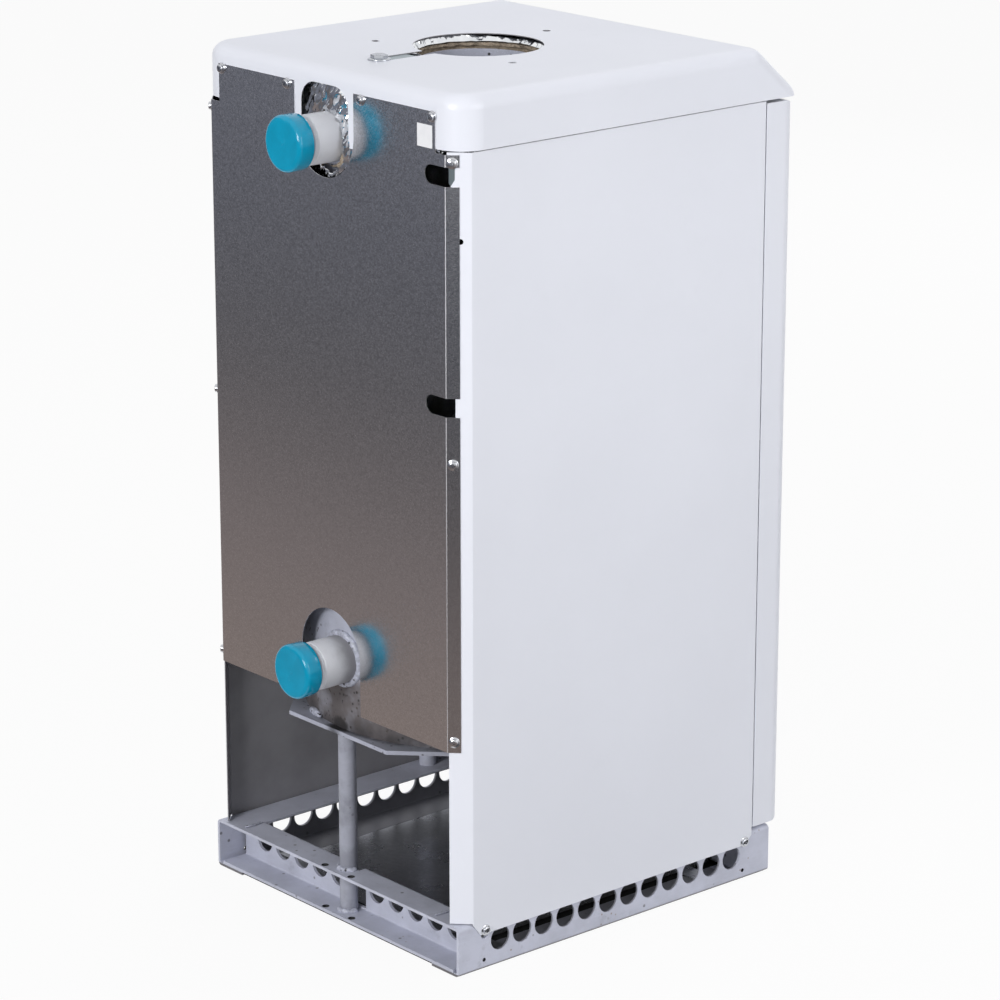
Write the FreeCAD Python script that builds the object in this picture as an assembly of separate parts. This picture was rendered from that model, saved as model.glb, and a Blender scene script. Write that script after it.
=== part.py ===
"""Floor-standing gas boiler with a cylindrical water vessel in a white sheet-metal casing.

Millimetres. +Z is up, the front faces -Y, and the origin is on the flue axis at floor level.
Left and right are those of a person in front of the boiler, so left is -X.
"""

import FreeCAD, Part
import math
import os

from FreeCAD import Vector

# Overall size
BASE_WIDTH = 380.0
BASE_DEPTH = 413.0
TOTAL_HEIGHT = 850.0

# Room between the water vessel and the base's sides, rear and front
VESSEL_SIDE_GAP = 15.0
VESSEL_REAR_GAP = 14.0
VESSEL_FRONT_ROOM = 49.0

# Base frame
RAIL_HEIGHT = 50.0
RAIL_SHEET = 3.0
RAIL_BEND = 1.5
SIDE_FLANGE = 40.0
END_FLANGE = 32.5
AIR_HOLE_RADIUS = 12.0
AIR_HOLE_RISE = 24.3
SIDE_HOLE_PITCH = 28.0
SIDE_HOLE_MARGIN = 45.0
END_HOLE_PITCH = 30.0
END_HOLE_MARGIN = 39.5
END_HOLE_RISE = 27.5
TOOL_HOLE_RADIUS = 4.5
DRAIN_HOLE_RADIUS = 1.75
DRAIN_HOLE_RISE = 7.0
FLOOR_HOLE_RADIUS = 3.5
FLOOR_HOLE_SPACING = 41.0
FLOOR_HOLE_INSET = 5.5
TRAY_SIDE_GAP = 11.0
TRAY_END_GAP = 1.5
TRAY_RISE = 5.8
TRAY_LAP = 15.0
TRAY_EAR_WIDTH = 20.0
TRAY_EAR_INSET = 35.0
POST_RADIUS = 9.0
POST_WALL = 2.5
POST_NOTCH_HALF = 13.5
POST_NOTCH_INSET = 2.0
FRONT_POST_INSET = 0.6
FRONT_POST_SIDE_GAP = 18.0

# Water vessel, firebox and flue
PLATE_TOP = 197.0
PLATE_THICKNESS = 4.0
PLATE_LEDGE = 7.5
PLATE_SIDE_GAP = 7.5
VESSEL_WALL = 4.0
VESSEL_HEADROOM = 28.0
WATER_GAP = 35.0
FIREBOX_HEIGHT = 233.0
FLUE_RADIUS = 57.5
FLUE_WALL = 2.5
FLUE_RIM_DROP = 14.0
COLLAR_LENGTH = 46.0
FIRE_TUBE_WALL = 3.0
FIRE_TUBE_STANDOUT = 4.0
TURBULATOR_DROP = 82.0
TURBULATOR_PITCH = 44.0
TURBULATOR_SHEET = 2.0
TURBULATOR_GAP = 7.0
TURBULATOR_BAR = 3.0
NIPPLE_RADIUS = 23.9
NIPPLE_BORE = 20.0
NIPPLE_STANDOUT = 47.5
NIPPLE_INSIDE = 10.0
NIPPLE_THREAD = 24.0
THREAD_PITCH = 2.31
THREAD_DEPTH = 1.2
SUPPLY_DROP = 65.0
RETURN_RISE = 72.5
WELD_RADIUS = 4.5
CAP_RADIUS = 27.0
CAP_LENGTH = 18.0
CAP_WALL = 2.5
CAP_EDGE = 3.0
WOOL_THICKNESS = 10.6
WOOL_RISE = 135.0
WOOL_HEADROOM = 8.0
WOOL_PIPE_GAP = 8.0
WOOL_LAP = 4.0
WOOL_GAP_DEGREES = 80.0
WOOL_FLUE_RADIUS = 64.0

# Casing sheets
CASING_SHEET = 0.8
CASING_BEND = 1.0
FIT = 0.2
PANEL_RISE = 27.6
PANEL_TOP_DROP = 17.5
PANEL_STEP_DEPTH = 37.1
PANEL_STEP_INSET = 29.0
PANEL_FOLD_INSET = 15.4
PANEL_FLANGE = 13.0
NOTCH_HALF = 44.0
NOTCH_RISE = 6.0
ARCH_RADIUS = 45.0
ARCH_RISE = 8.5
UPPER_SLOT_DROP = 75.0
LOWER_SLOT_DROP = 290.0
SLOT_RADIUS = 9.0
SLOT_INSET = 44.0
SIDE_LAP = 12.8
SIDE_FLANGE_GAP = 1.0
SIDE_RETURN = 15.0
SIDE_TOP_RETURN = 3.5
SIDE_FRONT_INSET = 24.0
SIDE_SCREW_RISE = 3.8
SIDE_SCREW_REAR = 33.0
SIDE_SCREW_FRONT = 35.5
SIDE_REAR_CHAMFER = 9.2
SIDE_REAR_RISE = 12.0
SIDE_FRONT_CHAMFER = 9.5
SIDE_FRONT_RISE = 9.0
SIDE_SLOT_EDGE = 1.8
SIDE_SLOT_CHAMFER = 2.9
SIDE_SLOT_CHAMFER_RISE = 6.5
PEG_HOLE_DROP = 82.0
PEG_HOLE_INSET = 7.3
PEG_HOLE_RADIUS = 2.6
COVER_SKIRT = 51.3
COVER_OVERHANG = 1.5
COVER_CORNER = 30.0
COVER_EDGE = 14.0
COVER_FRONT_OVERHANG = 16.0
COVER_SLOPE_RUN = 50.0
COVER_SLOPE_BEND = 22.0
COVER_LIP = 8.0
COVER_LIP_EDGE = 8.0
COVER_SEAM = 1.0
FLUE_HOLE_RADIUS = 63.0
VENT_HOLE_RADIUS = 4.0
VENT_CIRCLE = 100.5
VENT_START_DEGREES = 38.0
COVER_SLOT_HALF = 9.2
COVER_SCREW_INSET = 67.0
COVER_SCREW_FLANGE = 11.0
COVER_SCREW_HEAD = 8.4
COVER_SCREW_RISE = 3.6
COVER_SCREW_SHANK = 4.0
COVER_SCREW_LENGTH = 6.0
NUT_PLATE_WIDTH = 28.0
NUT_PLATE_DEPTH = 24.0
NUT_PLATE_REACH = 40.0
NUT_PLATE_SHEET = 2.0
TONGUE_HALF = 60.0
TONGUE_DROP = 70.0
TONGUE_SLOT_HALF = 35.0
TONGUE_SLOT_DROP = 15.0
TONGUE_SLOT_CORNER = 20.0
TOP_SCREW_DROP = 4.5
TOP_SCREW_INSET = 4.0
TONGUE_SCREW_INSET = 5.0
LOW_SCREW_RISE = 10.4
MID_SCREW_DROP = 344.0
HIGH_SCREW_DROP = 7.4
SCREW_SHANK = 2.0
SCREW_HEAD = 5.4
SCREW_HEAD_RISE = 3.5
SCREW_LENGTH = 8.0
SPRING_NUT_WIDTH = 6.4
SPRING_NUT_RISE = 6.0
SPRING_NUT_DROP = 18.0
SPRING_NUT_SHEET = 1.0
LABEL_SIDE = 21.0
LABEL_INSET = 4.0
LABEL_DROP = 13.0
LABEL_THICKNESS = 0.25
CROSSBAR_HEIGHT = 46.0
CROSSBAR_DEPTH = 14.0
CROSSBAR_SHEET = 1.2
CROSSBAR_DROP = 3.0

# Door and its hinge
DOOR_OVERHANG = 15.5
DOOR_BOTTOM_GAP = 4.0
DOOR_TOP_GAP = 3.4
DOOR_REAR_GAP = 2.5
DOOR_REAR_LAP = 2.1
DOOR_EDGE = 14.0
DOOR_LIP = 12.0
HINGE_LIP = 8.0
HINGE_INSET_X = 5.0
HINGE_INSET_Y = 6.0
HINGE_PIN = 2.0
HINGE_PIN_REACH = 10.0
HINGE_GAP = 1.3
HINGE_SHEET = 2.0
HINGE_LEG = 9.0
LOWER_HINGE_SHEET = 2.5
BUSH_RADIUS = 3.2
BUSH_FLANGE = 4.4
BUSH_LENGTH = 6.0
BUSH_RIM = 0.8
MAGNET_LENGTH = 50.0
WINDOW_DROP = 150.0
WINDOW_RADIUS = 30.0
HANDLE_HEIGHT = 435.0
HANDLE_INSET = 43.0
HANDLE_LENGTH = 90.0
HANDLE_WIDTH = 24.0
HANDLE_DEPTH = 16.0
HANDLE_WALL = 2.0
HANDLE_RIM = 4.0
HANDLE_RIM_RISE = 1.2
BEZEL_WALL = 2.9
BEZEL_RIM = 4.0
BEZEL_RISE = 1.5
BEZEL_DEPTH = 5.0
LENS_THICKNESS = 2.0

# Burner, gas line and controls
TUNNEL_HALF = 73.0
TUNNEL_RISE = 6.0
TUNNEL_HEIGHT = 84.0
TUNNEL_WALL = 3.0
TUNNEL_STANDOUT = 11.0
TUNNEL_LENGTH = 68.0
BURNER_PLATE_THICKNESS = 3.0
BURNER_PLATE_MARGIN = 12.0
BURNER_RADIUS = 15.0
BURNER_PITCH = 42.0
BURNER_END_GAP = 45.0
BURNER_WALL = 1.5
BURNER_SLIT = 1.2
BURNER_SLIT_PITCH = 11.0
BURNER_SLIT_WIDTH = 16.0
BURNER_RISE = 42.0
MANIFOLD_RADIUS = 6.0
MANIFOLD_GAP = 20.0
VALVE_SIDE_GAP = 23.0
VALVE_WIDTH = 90.0
VALVE_PORT_INSET = 7.0
MANIFOLD_INSET = 17.0
MANIFOLD_OVERRUN = 18.0
MANIFOLD_BEND = 16.0
INLET_INSET = 24.0
INLET_BEND = 30.0
INLET_WALL = 2.65
OUTLET_NUT_RADIUS = 11.0
OUTLET_NUT_HEIGHT = 9.0
INLET_NUT_RADIUS = 15.0
INLET_NUT_HEIGHT = 11.0
JET_RADIUS = 3.5
JET_HEX = 5.5
JET_SEAT = 3.0
VALVE_DEPTH = 48.0
VALVE_RISE = 13.0
VALVE_HEIGHT = 72.0
KNOB_RADIUS = 18.0
KNOB_LENGTH = 12.5
KNOB_TRAVEL = 3.0
SPINDLE_RADIUS = 4.0
BUTTON_RADIUS = 6.0
BUTTON_TRAVEL = 4.0
GAS_PIPE_RADIUS = 10.65
GAS_INLET_HEIGHT = 120.0
GAS_INLET_RUN = 72.0
GAUGE_RADIUS = 29.0
GAUGE_STANDOUT = 46.0
GAUGE_DEPTH = 16.0
GAUGE_WALL = 2.0
GAUGE_STEM = 5.0
GAUGE_STEM_INSIDE = 45.0
GAUGE_BOSS = 8.0
GAUGE_AXLE = 1.5
POINTER_HUB = 4.0
BULB_DROP = 80.0
BULB_X = 40.0
BULB_RADIUS = 6.0
BULB_INSIDE = 60.0
BULB_STANDOUT = 8.0
CAPILLARY_RADIUS = 1.5
LEAD_GAP = 8.0
LEAD_RISE = 7.0
LEAD_STEP = 6.0
LEAD_SPACING = 9.0
LEAD_BEND = 4.0
SLEEVE_RADIUS = 3.0
PILOT_START = 74.0
PILOT_LENGTH = 14.0
PILOT_WIDTH = 8.0
PILOT_RISE = 8.0
THERMOCOUPLE_REACH = 84.0
ELECTRODE_REACH = 82.0
ELECTRODE_SLEEVE = 66.0
PEEPHOLE_RADIUS = 6.0
FLAP_RADIUS = 9.0
FLAP_ARM = 15.0
FLAP_SHEET = 2.0
RIVET_RADIUS = 2.0

# Working fit between moving round parts, radius to radius
RUNNING = 0.06
CLEAR = 0.05

# Values that follow from the sizes above
HALF_WIDTH = BASE_WIDTH / 2
# The vessel is the widest cylinder that the base has room for
VESSEL_RADIUS = min(HALF_WIDTH - VESSEL_SIDE_GAP, (BASE_DEPTH - VESSEL_FRONT_ROOM - VESSEL_REAR_GAP) / 2)
REAR_Y = VESSEL_RADIUS + VESSEL_REAR_GAP
FRONT_Y = REAR_Y - BASE_DEPTH
MID_Y = (REAR_Y + FRONT_Y) / 2
# The end rails stand on the lower flanges of the side rails
RAIL_BOTTOM = RAIL_SHEET
RAIL_TOP = RAIL_HEIGHT
FLANGE_EDGE = HALF_WIDTH - SIDE_FLANGE
REAR_WEB = REAR_Y - END_FLANGE
POST_Y = REAR_WEB + RAIL_SHEET + RAIL_BEND + 0.1 + POST_RADIUS
FRONT_POST_X = HALF_WIDTH - FRONT_POST_SIDE_GAP
TRAY_HALF_WIDTH = FLANGE_EDGE - TRAY_SIDE_GAP
SIDE_HOLES = int((BASE_DEPTH - 2 * SIDE_HOLE_MARGIN) / SIDE_HOLE_PITCH) + 1
END_HOLES = int((BASE_WIDTH - 2 * END_HOLE_MARGIN) / END_HOLE_PITCH) + 1
PLATE_HALF_WIDTH = HALF_WIDTH - PLATE_SIDE_GAP
PLATE_APOTHEM = VESSEL_RADIUS + PLATE_LEDGE
# Length of a cut corner of the plate, along x and along y
PLATE_CORNER = PLATE_HALF_WIDTH + PLATE_APOTHEM - PLATE_APOTHEM * math.sqrt(2)
FRONT_POST_Y = -(PLATE_APOTHEM - PLATE_CORNER - FRONT_POST_INSET)
FIREBOX_RADIUS = VESSEL_RADIUS - WATER_GAP
VESSEL_TOP = TOTAL_HEIGHT - VESSEL_HEADROOM
FLUE_RIM = TOTAL_HEIGHT - FLUE_RIM_DROP
SUPPLY_HEIGHT = TOTAL_HEIGHT - SUPPLY_DROP
RETURN_HEIGHT = PLATE_TOP + RETURN_RISE
NIPPLE_END = REAR_Y + NIPPLE_STANDOUT
WOOL_BOTTOM = PLATE_TOP + WOOL_RISE
WOOL_TOP = TOTAL_HEIGHT - WOOL_HEADROOM
PANEL_BOTTOM = PLATE_TOP + PANEL_RISE
PANEL_TOP = TOTAL_HEIGHT - PANEL_TOP_DROP
PANEL_STEP = PANEL_TOP - PANEL_STEP_DEPTH
PANEL_STEP_HALF = HALF_WIDTH - PANEL_STEP_INSET
PANEL_FOLD = HALF_WIDTH - PANEL_FOLD_INSET
NOTCH_CENTRE = SUPPLY_HEIGHT + NOTCH_RISE
ARCH_CENTRE = RETURN_HEIGHT + ARCH_RISE
SLOT_HEIGHTS = (TOTAL_HEIGHT - UPPER_SLOT_DROP, TOTAL_HEIGHT - LOWER_SLOT_DROP)
SLOT_END = HALF_WIDTH - SLOT_INSET
SIDE_BOTTOM = RAIL_TOP - SIDE_LAP
SIDE_FLANGE_BOTTOM = RAIL_TOP + SIDE_FLANGE_GAP
SIDE_FRONT = FRONT_Y + SIDE_FRONT_INSET
SIDE_SCREW_Z = SIDE_BOTTOM + SIDE_SCREW_RISE
CASING_X = HALF_WIDTH + FIT + CASING_SHEET
COVER_HALF_WIDTH = CASING_X + COVER_OVERHANG
COVER_FRONT = FRONT_Y - COVER_FRONT_OVERHANG
COVER_SLOPE_START = COVER_FRONT + COVER_SLOPE_RUN
COVER_SCREW_Y = REAR_Y - COVER_SCREW_INSET
TONGUE_BOTTOM = TOTAL_HEIGHT - TONGUE_DROP
TONGUE_SLOT_TOP = TOTAL_HEIGHT - TONGUE_SLOT_DROP
TOP_SCREW_Z = PANEL_TOP - TOP_SCREW_DROP
CORNER_SCREW_X = PANEL_STEP_HALF - TOP_SCREW_INSET
TONGUE_SCREW_X = TONGUE_HALF - TONGUE_SCREW_INSET
TOP_SCREW_XS = (-CORNER_SCREW_X, -TONGUE_SCREW_X, TONGUE_SCREW_X, CORNER_SCREW_X)
FLANGE_SCREW_ZS = (PANEL_BOTTOM + LOW_SCREW_RISE, TOTAL_HEIGHT - MID_SCREW_DROP, PANEL_STEP - HIGH_SCREW_DROP)
DOOR_FRONT = FRONT_Y - DOOR_OVERHANG
DOOR_BOTTOM = RAIL_TOP + DOOR_BOTTOM_GAP
WINDOW_HEIGHT = TOTAL_HEIGHT - WINDOW_DROP
HANDLE_X = -(CASING_X - HANDLE_INSET)
COVER_BOTTOM = TOTAL_HEIGHT - COVER_SKIRT
COVER_REAR = REAR_Y - CASING_SHEET - FIT
SIDE_TOP = COVER_BOTTOM - COVER_SEAM
DIAGONAL = math.sqrt(0.5)
# Outer plane of a side panel's rear flange, as x + y
SIDE_PLANE = PANEL_FOLD + REAR_Y - (CASING_SHEET + FIT) / DIAGONAL
FIREBOX_TOP = PLATE_TOP + FIREBOX_HEIGHT
TURBULATOR_TOP = VESSEL_TOP - TURBULATOR_DROP
TURBULATOR_FOLDS = int((TURBULATOR_TOP - FIREBOX_TOP - TURBULATOR_GAP) / TURBULATOR_PITCH)
FIRE_TUBE_BORE = FLUE_RADIUS + CLEAR
FIRE_TUBE_RADIUS = FIRE_TUBE_BORE + FIRE_TUBE_WALL
DOOR_TOP = COVER_BOTTOM - DOOR_TOP_GAP
DOOR_REAR = SIDE_FRONT - DOOR_REAR_GAP
HINGE_X = CASING_X - HINGE_INSET_X
HINGE_Y = DOOR_REAR - HINGE_INSET_Y
CAP_FACE = NIPPLE_END + CAP_WALL
TUNNEL_BOTTOM = PLATE_TOP + TUNNEL_RISE
TUNNEL_TOP = TUNNEL_BOTTOM + TUNNEL_HEIGHT
TUNNEL_FRONT = -(VESSEL_RADIUS + TUNNEL_STANDOUT)
BURNER_Z = TUNNEL_BOTTOM + BURNER_RISE
BURNER_FRONT = TUNNEL_FRONT - BURNER_PLATE_THICKNESS
BURNER_END = FIREBOX_RADIUS - VESSEL_WALL - BURNER_END_GAP
MANIFOLD_Y = BURNER_FRONT - MANIFOLD_GAP
VALVE_RIGHT = CASING_X - VALVE_SIDE_GAP
VALVE_LEFT = VALVE_RIGHT - VALVE_WIDTH
VALVE_FRONT = MANIFOLD_Y - VALVE_PORT_INSET
VALVE_BOTTOM = TUNNEL_TOP + VALVE_RISE
VALVE_TOP = VALVE_BOTTOM + VALVE_HEIGHT
GAS_INLET_END = VALVE_FRONT + VALVE_DEPTH / 2 + GAS_INLET_RUN
GAUGE_FRONT = -(VESSEL_RADIUS + GAUGE_STANDOUT)
BULB_HEIGHT = WINDOW_HEIGHT - BULB_DROP
LEAD_Y = BURNER_FRONT - LEAD_GAP
KNOB_X = VALVE_LEFT + VALVE_WIDTH / 2
KNOB_Z = VALVE_BOTTOM + VALVE_HEIGHT / 2
KNOB_REAR = VALVE_FRONT - KNOB_TRAVEL - 0.5
BUTTON_X = VALVE_LEFT + 14
BUTTON_Z = VALVE_BOTTOM + VALVE_HEIGHT - 18
PEEPHOLE_X = -BURNER_PITCH - 8
PEEPHOLE_Z = TUNNEL_TOP - TUNNEL_WALL - 10


def at_xy(z):
    return lambda u, v: Vector(u, v, z)


def at_xz(y):
    return lambda u, v: Vector(u, y, v)


def at_yz(x):
    return lambda u, v: Vector(x, u, v)


def box(x0, x1, y0, y1, z0, z1):
    return Part.makeBox(x1 - x0, y1 - y0, z1 - z0, Vector(x0, y0, z0))


def rod(radius, start, end):
    run = end - start
    return Part.makeCylinder(radius, run.Length, start, run)


def tube(radius, bore, start, end):
    run = (end - start).normalize()
    return rod(radius, start, end).cut(rod(bore, start - run, end + run))


def prism(points, place, run):
    corners = [place(u, v) for u, v in points]
    return Part.Face(Part.makePolygon(corners + corners[:1])).extrude(run)


def turned(points, centre, axis):
    """A solid of revolution: each point is (radius, distance along the axis)."""
    side = Vector(1, 0, 0) if abs(axis.x) < 0.5 else Vector(0, 0, 1)
    corners = [centre + side * r + axis * d for r, d in points]
    face = Part.Face(Part.makePolygon(corners + corners[:1]))
    return face.revolve(centre, axis, 360)


def fused(shapes):
    whole = shapes[0]
    for shape in shapes[1:]:
        whole = whole.fuse(shape)
    return whole.removeSplitter()


def cut_all(shape, cutters):
    for cutter in cutters:
        shape = shape.cut(cutter)
    return shape


def mirror_x(shape):
    return shape.mirror(Vector(0, 0, 0), Vector(1, 0, 0))


def bent_sheet(points, thickness, bend, place, run):
    """A folded sheet whose one face follows the points; it thickens to the left of travel."""
    corners = [Vector(u, v, 0) for u, v in points]
    ways = [(b - a).normalize() for a, b in zip(corners, corners[1:])]
    lefts = [Vector(-w.y, w.x, 0) for w in ways]
    near = []
    far = []
    last_near = corners[0]
    last_far = corners[0] + lefts[0] * thickness
    for i in range(1, len(corners) - 1):
        turn = math.atan2(ways[i - 1].cross(ways[i]).z, ways[i - 1].dot(ways[i]))
        sign = 1 if turn > 0 else -1
        radius = bend + thickness if turn > 0 else bend
        reach = radius * math.tan(abs(turn) / 2)
        start = corners[i] - ways[i - 1] * reach
        end = corners[i] + ways[i] * reach
        centre = start + lefts[i - 1] * (radius * sign)
        out = (corners[i] - centre).normalize()
        far_start = start + lefts[i - 1] * thickness
        far_end = end + lefts[i] * thickness
        near += [(last_near, start), (start, centre + out * radius, end)]
        far += [(last_far, far_start), (far_start, centre + out * (radius - sign * thickness), far_end)]
        last_near = end
        last_far = far_end
    near.append((last_near, corners[-1]))
    far.append((last_far, corners[-1] + lefts[-1] * thickness))
    caps = [(near[-1][-1], far[-1][-1]), (far[0][0], near[0][0])]
    edges = []
    for path in near + far + caps:
        spots = [place(p.x, p.y) for p in path]
        edges.append(Part.makeLine(*spots) if len(spots) == 2 else Part.Arc(*spots).toShape())
    wire = Part.Wire(Part.__sortEdges__(edges))
    return Part.Face(wire).extrude(run)


def route(points, bend):
    """A wire through the points with every corner rounded."""
    edges = []
    last = points[0]
    for before, corner, after in zip(points, points[1:], points[2:]):
        a = (before - corner).normalize()
        b = (after - corner).normalize()
        half = a.getAngle(b) / 2
        reach = bend / math.tan(half)
        middle = (a + b).normalize()
        centre = corner + middle * (bend / math.sin(half))
        edges.append(Part.makeLine(last, corner + a * reach))
        edges.append(Part.Arc(corner + a * reach, centre - middle * bend, corner + b * reach).toShape())
        last = corner + b * reach
    edges.append(Part.makeLine(last, points[-1]))
    return Part.Wire(edges)


def pipe(points, radius, bend, bore=0):
    path = route(points, bend)
    way = points[1] - points[0]

    def swept(size):
        ring = Part.Wire(Part.makeCircle(size, points[0], way))
        return path.makePipeShell([ring], True, False)

    solid = swept(radius)
    return solid.cut(swept(bore)) if bore else solid


def side_rail():
    """The right rail, a channel on the floor, open towards the middle."""
    points = [
        (FLANGE_EDGE, 0),
        (HALF_WIDTH, 0),
        (HALF_WIDTH, RAIL_TOP),
        (FLANGE_EDGE, RAIL_TOP),
    ]
    rail = bent_sheet(points, RAIL_SHEET, RAIL_BEND, at_xz(FRONT_Y), Vector(0, BASE_DEPTH, 0))
    inside = HALF_WIDTH - 2 * RAIL_SHEET
    outside = HALF_WIDTH + 1
    holes = []
    for i in range(SIDE_HOLES):
        y = MID_Y + (i - (SIDE_HOLES - 1) / 2) * SIDE_HOLE_PITCH
        holes.append((AIR_HOLE_RADIUS, y, RAIL_BOTTOM + AIR_HOLE_RISE))
    for y, z in side_screw_spots():
        holes.append((SCREW_SHANK + CLEAR, y, z))
    for y, z in side_screw_spots():
        holes.append((DRAIN_HOLE_RADIUS, y + 1, RAIL_BOTTOM + DRAIN_HOLE_RISE))
    holes.append((TOOL_HOLE_RADIUS, side_screw_spots()[0][0] + 0.5, SIDE_SCREW_Z - TOOL_HOLE_RADIUS))
    return cut_all(rail, [rod(r, Vector(inside, y, z), Vector(outside, y, z)) for r, y, z in holes])


def side_screw_spots():
    return [(REAR_Y - SIDE_SCREW_REAR, SIDE_SCREW_Z), (FRONT_Y + SIDE_SCREW_FRONT, SIDE_SCREW_Z)]


def end_rail():
    """The rear rail, a channel open to the rear; its web and foot run on into the side channels."""
    points = [
        (REAR_Y, RAIL_TOP),
        (REAR_WEB, RAIL_TOP),
        (REAR_WEB, RAIL_BOTTOM),
        (REAR_Y, RAIL_BOTTOM),
    ]
    wide = HALF_WIDTH - SCREW_LENGTH
    rail = bent_sheet(points, RAIL_SHEET, RAIL_BEND, at_yz(-wide), Vector(2 * wide, 0, 0))
    low = RAIL_TOP - RAIL_SHEET - RAIL_BEND - 0.5
    end = box(FLANGE_EDGE - CLEAR, HALF_WIDTH, REAR_WEB - 1, REAR_Y + 1, low, RAIL_TOP + 1)
    holes = [end, mirror_x(end)]
    for i in range(END_HOLES):
        x = (i - (END_HOLES - 1) / 2) * END_HOLE_PITCH
        z = RAIL_BOTTOM + END_HOLE_RISE
        holes.append(rod(AIR_HOLE_RADIUS, Vector(x, REAR_WEB - 1, z), Vector(x, REAR_WEB + RAIL_SHEET + 1, z)))
    for x in (-FLOOR_HOLE_SPACING / 2, FLOOR_HOLE_SPACING / 2):
        y = REAR_Y - FLOOR_HOLE_INSET
        holes.append(rod(FLOOR_HOLE_RADIUS, Vector(x, y, 0), Vector(x, y, RAIL_TOP + 5)))
    return cut_all(rail, holes)


def rear_rail():
    top = RAIL_TOP - RAIL_SHEET - 1
    hole = rod(POST_RADIUS + CLEAR, Vector(0, POST_Y, top), Vector(0, POST_Y, RAIL_TOP + 1))
    half = POST_NOTCH_HALF
    low = RAIL_BOTTOM + RAIL_SHEET + RAIL_BEND
    notch = box(-half, half, REAR_WEB - 1, POST_Y - POST_NOTCH_INSET, low, RAIL_TOP + 1)
    return cut_all(end_rail(), [hole, notch])


def front_rail():
    return end_rail().mirror(Vector(0, MID_Y, 0), Vector(0, 1, 0))


def heat_shield_tray():
    foot = RAIL_SHEET
    top = foot + TRAY_RISE
    points = [
        (TRAY_HALF_WIDTH, foot),
        (TRAY_HALF_WIDTH, top),
        (-TRAY_HALF_WIDTH, top),
        (-TRAY_HALF_WIDTH, foot),
    ]
    y0 = FRONT_Y + END_FLANGE + TRAY_END_GAP
    y1 = REAR_WEB - TRAY_END_GAP
    sheet = bent_sheet(points, CASING_SHEET, 0.6, at_xz(y0), Vector(0, y1 - y0, 0))
    pieces = [sheet]
    half = TRAY_EAR_WIDTH / 2
    for y in (y0 + TRAY_EAR_INSET, y1 - TRAY_EAR_INSET):
        ear = box(
            TRAY_HALF_WIDTH - CASING_SHEET / 2, FLANGE_EDGE + TRAY_LAP, y - half, y + half,
            foot, foot + CASING_SHEET,
        )
        pieces += [ear, mirror_x(ear)]
    return fused(pieces)


def rear_post():
    start = Vector(0, POST_Y, RAIL_BOTTOM + RAIL_SHEET)
    end = Vector(0, POST_Y, PLATE_TOP - PLATE_THICKNESS)
    return tube(POST_RADIUS, POST_RADIUS - POST_WALL, start, end)


def front_posts():
    posts = []
    for x in (-FRONT_POST_X, FRONT_POST_X):
        start = Vector(x, FRONT_POST_Y, RAIL_TOP)
        end = Vector(x, FRONT_POST_Y, PLATE_TOP - PLATE_THICKNESS)
        posts.append(tube(POST_RADIUS, POST_RADIUS - POST_WALL, start, end))
    return Part.makeCompound(posts)


def bottom_plate():
    wide = PLATE_HALF_WIDTH
    deep = PLATE_APOTHEM
    cut = PLATE_CORNER
    corners = [
        (wide, deep - cut), (wide - cut, deep), (cut - wide, deep), (-wide, deep - cut),
        (-wide, cut - deep), (cut - wide, -deep), (wide - cut, -deep), (wide, cut - deep),
    ]
    z = PLATE_TOP - PLATE_THICKNESS
    plate = prism(corners, at_xy(z), Vector(0, 0, PLATE_THICKNESS))
    bore = FIREBOX_RADIUS - VESSEL_WALL
    return plate.cut(rod(bore, Vector(0, 0, z - 1), Vector(0, 0, PLATE_TOP + 1)))


def tunnel_hole():
    return box(
        -TUNNEL_HALF - CLEAR, TUNNEL_HALF + CLEAR, -VESSEL_RADIUS - 5, 0,
        TUNNEL_BOTTOM - CLEAR, TUNNEL_TOP + CLEAR,
    )


def vessel_shell():
    shell = tube(
        VESSEL_RADIUS, VESSEL_RADIUS - VESSEL_WALL,
        Vector(0, 0, PLATE_TOP), Vector(0, 0, VESSEL_TOP - VESSEL_WALL),
    )
    holes = [tunnel_hole()]
    for z in (SUPPLY_HEIGHT, RETURN_HEIGHT):
        holes.append(rod(NIPPLE_RADIUS + CLEAR, Vector(0, 0, z), Vector(0, VESSEL_RADIUS + 5, z)))
    for radius, x, z in ((GAUGE_STEM, 0, WINDOW_HEIGHT), (BULB_RADIUS, BULB_X, BULB_HEIGHT)):
        holes.append(rod(radius + CLEAR, Vector(x, 0, z), Vector(x, -VESSEL_RADIUS - 5, z)))
    return cut_all(shell, holes)


def ring_plate(radius, bore, z0, z1):
    return tube(radius, bore, Vector(0, 0, z0), Vector(0, 0, z1))


def firebox_shell():
    shell = ring_plate(FIREBOX_RADIUS, FIREBOX_RADIUS - VESSEL_WALL, PLATE_TOP, FIREBOX_TOP - VESSEL_WALL)
    return shell.cut(tunnel_hole())


def turbulator():
    """A zigzag baffle that hangs in the flue tube from a cross bar."""
    half = FIRE_TUBE_BORE - TURBULATOR_GAP
    width = half * 0.7
    points = []
    for i in range(TURBULATOR_FOLDS + 1):
        side = half * 0.62 * (1 if i % 2 else -1)
        points.append((side, TURBULATOR_TOP - i * TURBULATOR_PITCH))
    sheet = bent_sheet(points, TURBULATOR_SHEET, TURBULATOR_SHEET, at_yz(-width), Vector(2 * width, 0, 0))
    y, z = points[0]
    reach = math.sqrt(FIRE_TUBE_BORE**2 - (abs(y) + TURBULATOR_BAR) ** 2) - FIT - 0.1
    bar = rod(TURBULATOR_BAR, Vector(-reach, y, z), Vector(reach, y, z))
    return fused([sheet, bar])


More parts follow.
